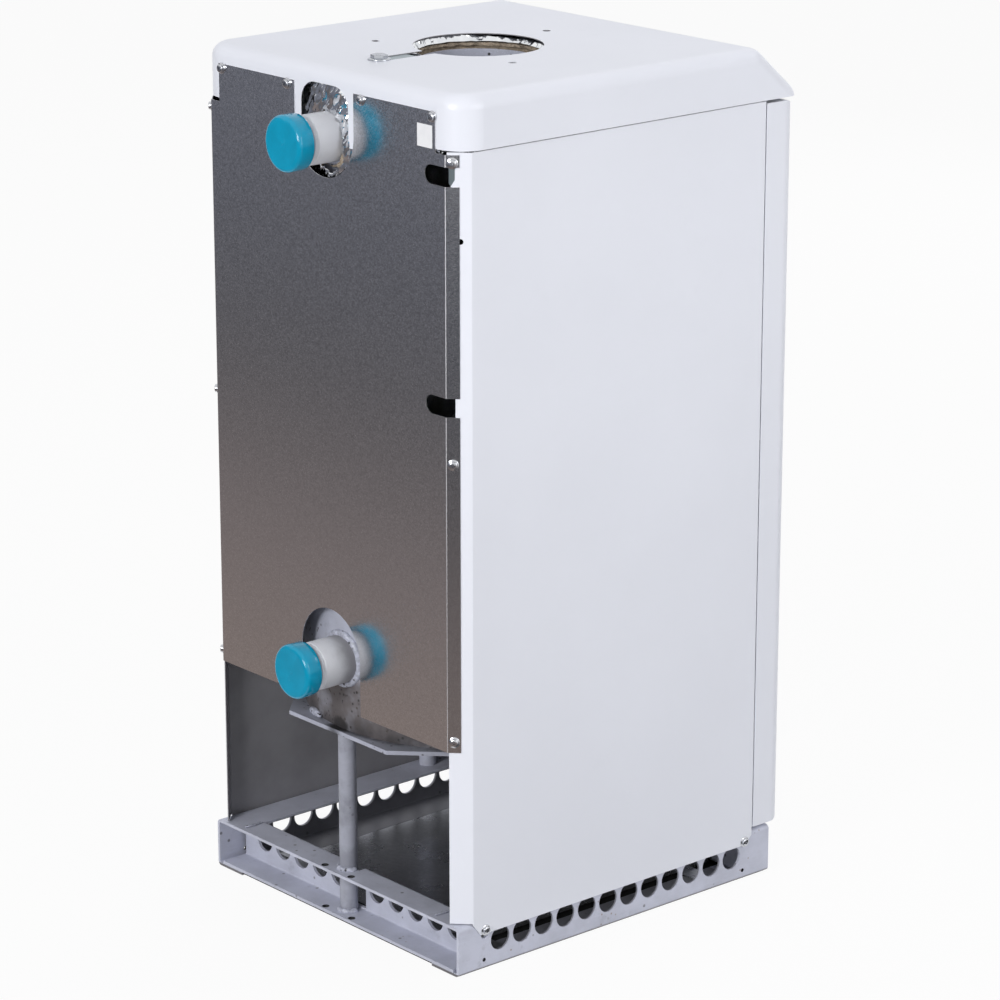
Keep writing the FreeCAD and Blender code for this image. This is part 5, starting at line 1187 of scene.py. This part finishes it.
class BOILER_OT_foil_wrap(bpy.types.Operator):
    """Model the creased foil round the vessel, torn open at the upper pipe"""

    bl_idname = "boiler.foil_wrap"
    bl_label = "Foil wrap"

    def execute(self, context):
        sizes = context.scene.boiler_sizes
        low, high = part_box("insulation_wrap")
        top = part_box("insulation_top")[1].z - 1.0 * MM
        radius = high.y - 1.8 * MM
        step = 7.0 * MM
        cuts = [low.z + step]
        while cuts[-1] + step < top - 0.5 * step:
            cuts.append(cuts[-1] + step)

        def torn(c, n):
            angle = math.atan2(c.z - SUPPLY_Z, c.x)
            reach = math.hypot(c.x, c.z - SUPPLY_Z)
            lower = 8.0 * MM * max(0.0, -math.sin(angle + 0.35))
            return c.y > 0 and reach < 24.6 * MM + lower + 1.2 * MM * ragged(angle, 2.0)

        opening = -math.cos(math.radians(42.0)) * radius
        wrap = sleeve(
            "foil_wrap", 170, radius, top - low.z, (low.z + top) / 2, opening, cuts, 0.052, torn
        )
        bpy.ops.mesh.select_all(action="SELECT")
        bpy.ops.mesh.quads_convert_to_tris()
        end()

        def crumple(c, n):
            out = Vector((c.x, c.y, 0.0)).normalized()
            reach = math.hypot(c.x, c.z - SUPPLY_Z)
            near = min(1.0, max(0.0, (62.0 * MM - reach) / (24.0 * MM))) if c.y > 0 else 0.0
            long = Vector((c.x + 0.45 * c.z, c.y, 0.32 * c.z - 0.2 * c.x)) / (11.0 * MM)
            fold = 1.0 - 2.2 * abs(noise.noise(long)) - 1.1 * abs(noise.noise(long * 2.3))
            shift = sizes.foil_crease * (0.44 * fold - 0.44)
            slide = noise.noise_vector(c / (14.0 * MM)) * 1.6 * MM
            slide -= out * slide.dot(out)
            bend = radius - math.sqrt(max(0.0, radius**2 - c.x**2)) if near else 0.0
            swell = bulge(c) * min(1.0, max(0.0, (56.0 * MM - reach) / (26.0 * MM)))
            flat = Vector((0.0, near * (0.8 * bend + 1.2 * MM) + swell, 0.0))
            return c + slide * (1.0 - 0.5 * near) + out * shift + flat

        def tuck(c, n):
            reach = math.hypot(c.x, c.z - SUPPLY_Z)
            limit = 1.6 * MM if reach > 40.0 * MM else 4.6 * MM
            return Vector((c.x, min(c.y, high.y + limit), c.z))

        noise.seed_set(FOIL_SEED)
        push(wrap, crumple)
        push(wrap, tuck)
        smooth(wrap, 17.0)
        apply_modifier(wrap, "SOLIDIFY", thickness=0.4 * MM, offset=-1.0)
        dress(wrap, "foil", "wool", "insulation_wrap")
        return {"FINISHED"}


class BOILER_OT_wool_wrap(bpy.types.Operator):
    """Model the mineral wool under the foil, torn round the upper pipe"""

    bl_idname = "boiler.wool_wrap"
    bl_label = "Wool wrap"

    def execute(self, context):
        sizes = context.scene.boiler_sizes
        low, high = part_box("insulation_wrap")

        def pipe_hole(c, n):
            angle = math.atan2(c.z - SUPPLY_Z, c.x)
            lower = 11.0 * MM * max(0.0, -math.sin(angle))
            edge = 25.5 * MM + lower + 2.5 * MM * ragged(angle, 5.0)
            return c.y > 0 and math.hypot(c.x, c.z - SUPPLY_Z) < edge

        wool_piece = sleeve(
            "wool_wrap", 180, VESSEL_RADIUS + 5.0 * MM, high.z - low.z - 4.0 * MM,
            (low.z + high.z) / 2, -math.cos(math.radians(43.0)) * VESSEL_RADIUS,
            [low.z + cut * MM for cut in range(12, 490, 12)], 0.05, pipe_hole,
        )
        end()
        apply_modifier(wool_piece, "SOLIDIFY", thickness=4.4 * MM, offset=-1.0)
        crease(wool_piece, "CLOUDS", 9.0 * MM, 3.0 * MM, 0.7)
        smooth(wool_piece, 70.0)
        dress(wool_piece, "wool", "wool")

        fresh()
        bpy.ops.mesh.primitive_torus_add(
            major_radius=29.0 * MM, minor_radius=3.6 * MM, major_segments=160,
            minor_segments=24, location=(0.0, VESSEL_RADIUS + 6.0 * MM, SUPPLY_Z),
            rotation=(math.pi / 2, 0.0, 0.0),
        )
        tuft = begin("torn_wool")
        end()

        def tear(c, n):
            angle = math.atan2(c.z - SUPPLY_Z, c.x)
            out = Vector((math.cos(angle), 0.0, math.sin(angle)))
            heart = out * 27.5 * MM + Vector((0.0, VESSEL_RADIUS + 6.0 * MM, SUPPLY_Z))
            side = (math.degrees(angle) - 205.0 + 540.0) % 360.0 - 180.0
            crown = math.degrees(angle) - 138.0
            full = 0.10 + 0.95 * math.exp(-((side / 38.0) ** 2))
            full += 0.55 * math.exp(-((crown / 26.0) ** 2))
            thread = heart + (c - heart - out * 1.5 * MM) * full
            bend = VESSEL_RADIUS - math.sqrt(VESSEL_RADIUS**2 - c.x**2)
            drift = out * full * (2.0 + 1.6 * ragged(angle, 9.0)) * MM
            return thread + drift + Vector((0.0, 0.9 * bulge(c) - bend, 0.0))

        push(tuft, tear)
        crease(tuft, "CLOUDS", 4.0 * MM, 0.5 * sizes.wool_tear)
        crease(tuft, "CLOUDS", 1.6 * MM, 0.25 * sizes.wool_tear)
        smooth(tuft, 80.0)
        dress(tuft, "wool", "wool")
        return {"FINISHED"}


class BOILER_OT_top_lagging(bpy.types.Operator):
    """Model the wool ring and its foil on top of the vessel"""

    bl_idname = "boiler.top_lagging"
    bl_label = "Top lagging"

    def execute(self, context):
        sizes = context.scene.boiler_sizes
        low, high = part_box("insulation_top")
        radius = high.x
        hole = 63.0 * MM
        depth = high.z - low.z - 1.0 * MM
        fresh()
        bpy.ops.mesh.primitive_cylinder_add(
            vertices=200, radius=radius - 5.0 * MM, depth=depth,
            location=(0.0, 0.0, low.z + depth / 2),
        )
        ring = begin("wool_top")
        pick(lambda c, n: abs(n.z) > 0.9)
        bpy.ops.mesh.inset(thickness=radius - hole - 26.0 * MM)
        bpy.ops.mesh.inset(thickness=21.0 * MM)
        bpy.ops.mesh.bridge_edge_loops(number_cuts=9)
        pick(lambda c, n: math.hypot(c.x, c.y) < hole + 21.0 * MM)
        bpy.ops.mesh.subdivide(number_cuts=1)
        end()

        def tear(c, n):
            reach = math.hypot(c.x, c.y)
            near = max(0.0, 1.0 - (reach - hole) / (12.0 * MM))
            if near <= 0.0:
                return c
            angle = math.atan2(c.y, c.x)
            under = min(1.0, max(0.0, (high.z - 4.2 * MM - c.z) / (2.5 * MM)))
            shift = sizes.wool_tear * (0.46 * ragged(angle * 2.0, 4.0 + c.z * 160.0) + 0.7 * under)
            out = Vector((math.cos(angle), math.sin(angle), 0.0))
            return c + out * shift * near

        push(ring, tear)
        crease(ring, "CLOUDS", 6.0 * MM, 2.4 * MM, 0.75)
        smooth(ring, 80.0)
        dress(ring, "wool", "wool", "insulation_top")

        fresh()
        bpy.ops.mesh.primitive_circle_add(
            vertices=240, radius=radius - 4.0 * MM, fill_type="NGON",
            location=(0.0, 0.0, high.z + 0.6 * MM),
        )
        sheet = begin("foil_top")
        lip = hole - 1.6 * MM
        width = radius - 4.0 * MM - lip
        for share in (0.50, 0.28, 0.13, 0.045, 0.015, 0.015, 0.015):
            pick(lambda c, n: math.hypot(c.x, c.y) < 1.0 * MM)
            bpy.ops.mesh.inset(thickness=width * share)
        pick(lambda c, n: math.hypot(c.x, c.y) < 1.0 * MM)
        bpy.ops.mesh.delete(type="FACE")
        pick(lambda c, n: math.hypot(c.x, c.y) > lip + 0.085 * width)
        bpy.ops.mesh.subdivide(number_cuts=2)
        bpy.ops.mesh.select_all(action="SELECT")
        bpy.ops.mesh.quads_convert_to_tris()
        end()

        def lift(c, n):
            angle = math.atan2(c.y, c.x)
            reach = math.hypot(c.x, c.y) - lip
            curl = min(1.0, reach / (3.4 * MM)) * min(1.0, max(0.0, 1.6 - reach / (16.0 * MM)))
            near = max(0.0, 1.0 - reach / (16.0 * MM))
            out = Vector((math.cos(angle), math.sin(angle), 0.0))
            side = math.exp(-(((math.degrees(angle) - 12.0) / 58.0) ** 4))
            rise = curl * min(6.2, 3.4 + 2.4 * side + 0.8 * ragged(angle * 2.0, 15.0)) * MM
            seed = out * 9.0 + Vector((0.0, 0.0, c.z * 90.0))
            pleat = curl * near * 2.8 * MM * noise.noise(seed)
            torn = near * 1.4 * MM * ragged(angle, 12.0)
            return c + out * (torn + pleat) + Vector((0.0, 0.0, rise))

        push(sheet, lift)
        crease(sheet, "VORONOI", 12.0 * MM, 0.3 * sizes.foil_crease)
        crease(sheet, "VORONOI", 5.0 * MM, 0.2 * sizes.foil_crease)
        apply_modifier(sheet, "SOLIDIFY", thickness=0.3 * MM, offset=-1.0)
        dress(sheet, "foil", "wool")
        return {"FINISHED"}


def aim(lamp, target):
    """Turn a lamp or camera towards a point."""
    way = Vector(target) - lamp.location
    lamp.rotation_euler = way.to_track_quat("-Z", "Y").to_euler()


def add_lamp(name, place, target, size, power, glossy=True):
    """A soft square lamp."""
    fresh()
    bpy.ops.object.light_add(type="AREA", location=place)
    lamp = bpy.context.object
    lamp.name = name
    lamp.data.shape = "SQUARE"
    lamp.data.size = size
    lamp.data.energy = power
    lamp.visible_glossy = glossy
    aim(lamp, target)


def add_plane(name, scale, place, rotation=(0.0, 0.0, 0.0)):
    """A plane of the stage, in edit mode."""
    fresh()
    bpy.ops.mesh.primitive_plane_add(size=2.0, location=place, rotation=rotation)
    bpy.context.object.scale = scale
    return begin(name)


def add_card(card, f, tone):
    """End a card that glows in reflections alone."""
    end()
    f.show(f.node("ShaderNodeEmission", {}, {"Color": shade(tone), "Strength": 1.0}))
    card.data.materials.append(f.material)
    for ray in ("camera", "diffuse", "shadow", "transmission"):
        setattr(card, f"visible_{ray}", False)


LAMPS = (
    ("key_lamp", (-2.3, -0.45, 1.35), (0.0, 0.0, 0.5), 1.2, 19.0),
    ("rear_lamp", (-0.9, 3.3, 1.6), (0.0, 0.0, 0.4), 1.0, 66.0),
    ("front_lamp", (1.6, -3.0, 1.7), (0.0, 0.0, 0.4), 2.2, 26.0, False),
    ("top_lamp", (0.4, -0.9, 3.2), (0.0, 0.0, 0.8), 1.6, 16.5, False),
)
DARK_CARD_TONES = (
    (0.07, (0.31, 0.25, 0.22)),
    (0.22, (0.235, 0.20, 0.195)),
    (0.37, (0.125, 0.122, 0.13)),
    (0.55, (0.135, 0.14, 0.165)),
    (1.00, (0.20, 0.21, 0.25)),
)
DARK_CARD_REACH = 4.0
CAMERA_TURN, CAMERA_TILT = math.radians(49.137), math.radians(16.82)
CAMERA_ASIDE, CAMERA_HEIGHT, CAMERA_REACH = 0.02074, 0.3953, 3.8287


class BOILER_OT_stage(bpy.types.Operator):
    """Set up the floor, the cards, the lamps, the world and the camera"""

    bl_idname = "boiler.stage"
    bl_label = "Studio"

    def execute(self, context):
        scene = context.scene
        scene.view_settings.view_transform = "Standard"

        floor = add_plane("studio_floor", (20.0, 20.0, 1.0), (0.0, 0.0, 0.0))
        end()
        f = Finish("floor_white")
        x, y, _ = f.axes()
        # Painted shadow: under the boiler's footprint the floor is painted dark and gets no glow.
        inset = 3.0 * MM
        under = abs(x) < RAIL_HIGH.x - inset
        under = under * (abs(y - RAIL_MIDDLE) < RAIL_HALF - inset)
        lit = f.node("ShaderNodeBsdfDiffuse", {}, {
            "Color": f.mix(under, (0.62, 0.62, 0.62), (0.03, 0.03, 0.03))})
        glow = f.node("ShaderNodeEmission", {}, {"Color": (1.0, 1.0, 1.0, 1.0), "Strength": 1.0})
        bare = f.seen() * 0.94 * (1.0 - under)
        f.show(f.node("ShaderNodeMixShader", {}, {0: bare, 1: lit, 2: glow}))
        floor.data.materials.append(f.material)

        card = add_plane("dark_card", (4.5, 2.4, 1.0), (0.8, 0.32 + 2.4, 0.004))
        pick(lambda c, n: c.y > 5.0, "EDGE")
        extrude((0.0, 0.3, 0.3))
        extrude((0.0, 0.1, 2.2))
        pick(lambda c, n: c.x > 5.2 and c.z < 0.1, "EDGE")
        extrude((0.3, 0.0, 0.3))
        extrude((0.1, 0.0, 2.2))
        f = Finish("card_dark")
        _, y, _ = f.axes()
        add_card(card, f, f.node(
            "ShaderNodeValToRGB", {"stops": DARK_CARD_TONES}, {0: y / DARK_CARD_REACH}
        ))

        card = add_plane("floor_card", (1.0, 1.6, 1.0), (-1.25, -1.25, 0.003))
        f = Finish("card_floor")
        x, _, _ = f.axes()
        add_card(card, f, f.mix(f.step(x, -2.2, -0.3), (0.95, 0.95, 0.96), (0.10, 0.10, 0.11)))

        card = add_plane(
            "pale_card", (3.0, 1.3, 1.0), (3.4, -2.9, 1.3),
            (math.pi / 2, 0.0, math.radians(49.1)),
        )
        add_card(card, Finish("card_pale"), (0.87, 0.88, 0.93))

        for lamp in LAMPS:
            add_lamp(*lamp)

        world = scene.world or bpy.data.worlds.new("studio_world")
        scene.world = world
        world.use_nodes = True
        w = Nodes(world.node_tree)
        soft, white = (
            w.node("ShaderNodeBackground", {}, {"Color": tone, "Strength": strength})
            for tone, strength in (((0.98, 0.99, 1.0, 1.0), 0.45), ((1.0, 1.0, 1.0, 1.0), 1.0))
        )
        w.show(
            w.node("ShaderNodeMixShader", {}, {0: w.seen(), 1: soft, 2: white}), "World Output"
        )

        fresh()
        bpy.ops.object.camera_add()
        camera = bpy.context.object
        camera.name = "photo_camera"
        camera.data.sensor_width = 36.0
        camera.data.lens = 139.32
        camera.data.clip_end = 100.0
        back = Vector((
            -math.sin(CAMERA_TURN) * math.cos(CAMERA_TILT),
            math.cos(CAMERA_TURN) * math.cos(CAMERA_TILT),
            math.sin(CAMERA_TILT),
        ))
        right = Vector((-math.cos(CAMERA_TURN), -math.sin(CAMERA_TURN), 0.0))
        target = right * CAMERA_ASIDE + Vector((0.0, 0.0, CAMERA_HEIGHT))
        camera.location = target + back * CAMERA_REACH
        aim(camera, target)
        scene.camera = camera
        return {"FINISHED"}


OPERATORS = (
    BOILER_OT_stage,
    BOILER_OT_finishes,
    BOILER_OT_caps,
    BOILER_OT_screws,
    BOILER_OT_cover_bolt,
    BOILER_OT_welds,
    BOILER_OT_foil_wrap,
    BOILER_OT_wool_wrap,
    BOILER_OT_top_lagging,
)


class BOILER_PT_looks(bpy.types.Panel):
    """Settings and steps of the boiler's looks"""

    bl_idname = "BOILER_PT_looks"
    bl_label = "Gas boiler"
    bl_space_type = "VIEW_3D"
    bl_region_type = "UI"
    bl_category = "Boiler"

    def draw(self, context):
        for group in (context.scene.boiler_sizes, context.scene.boiler_colours):
            box = self.layout.box()
            for name in group.__annotations__:
                box.prop(group, name)
        for operator in OPERATORS:
            self.layout.operator(operator.bl_idname)


CLASSES = (BoilerSizes, BoilerColours, *OPERATORS, BOILER_PT_looks)


def register():
    for cls in CLASSES:
        bpy.utils.register_class(cls)
    bpy.types.Scene.boiler_sizes = bpy.props.PointerProperty(type=BoilerSizes)
    bpy.types.Scene.boiler_colours = bpy.props.PointerProperty(type=BoilerColours)


def unregister():
    del bpy.types.Scene.boiler_colours
    del bpy.types.Scene.boiler_sizes
    for cls in reversed(CLASSES):
        bpy.utils.unregister_class(cls)


def main():
    register()
    bpy.ops.boiler.stage()
    bpy.ops.boiler.finishes()
    bpy.ops.boiler.caps()
    bpy.ops.boiler.screws()
    bpy.ops.boiler.cover_bolt()
    bpy.ops.boiler.welds()
    bpy.ops.boiler.foil_wrap()
    bpy.ops.boiler.wool_wrap()
    bpy.ops.boiler.top_lagging()


if __name__ == "__main__":
    main()
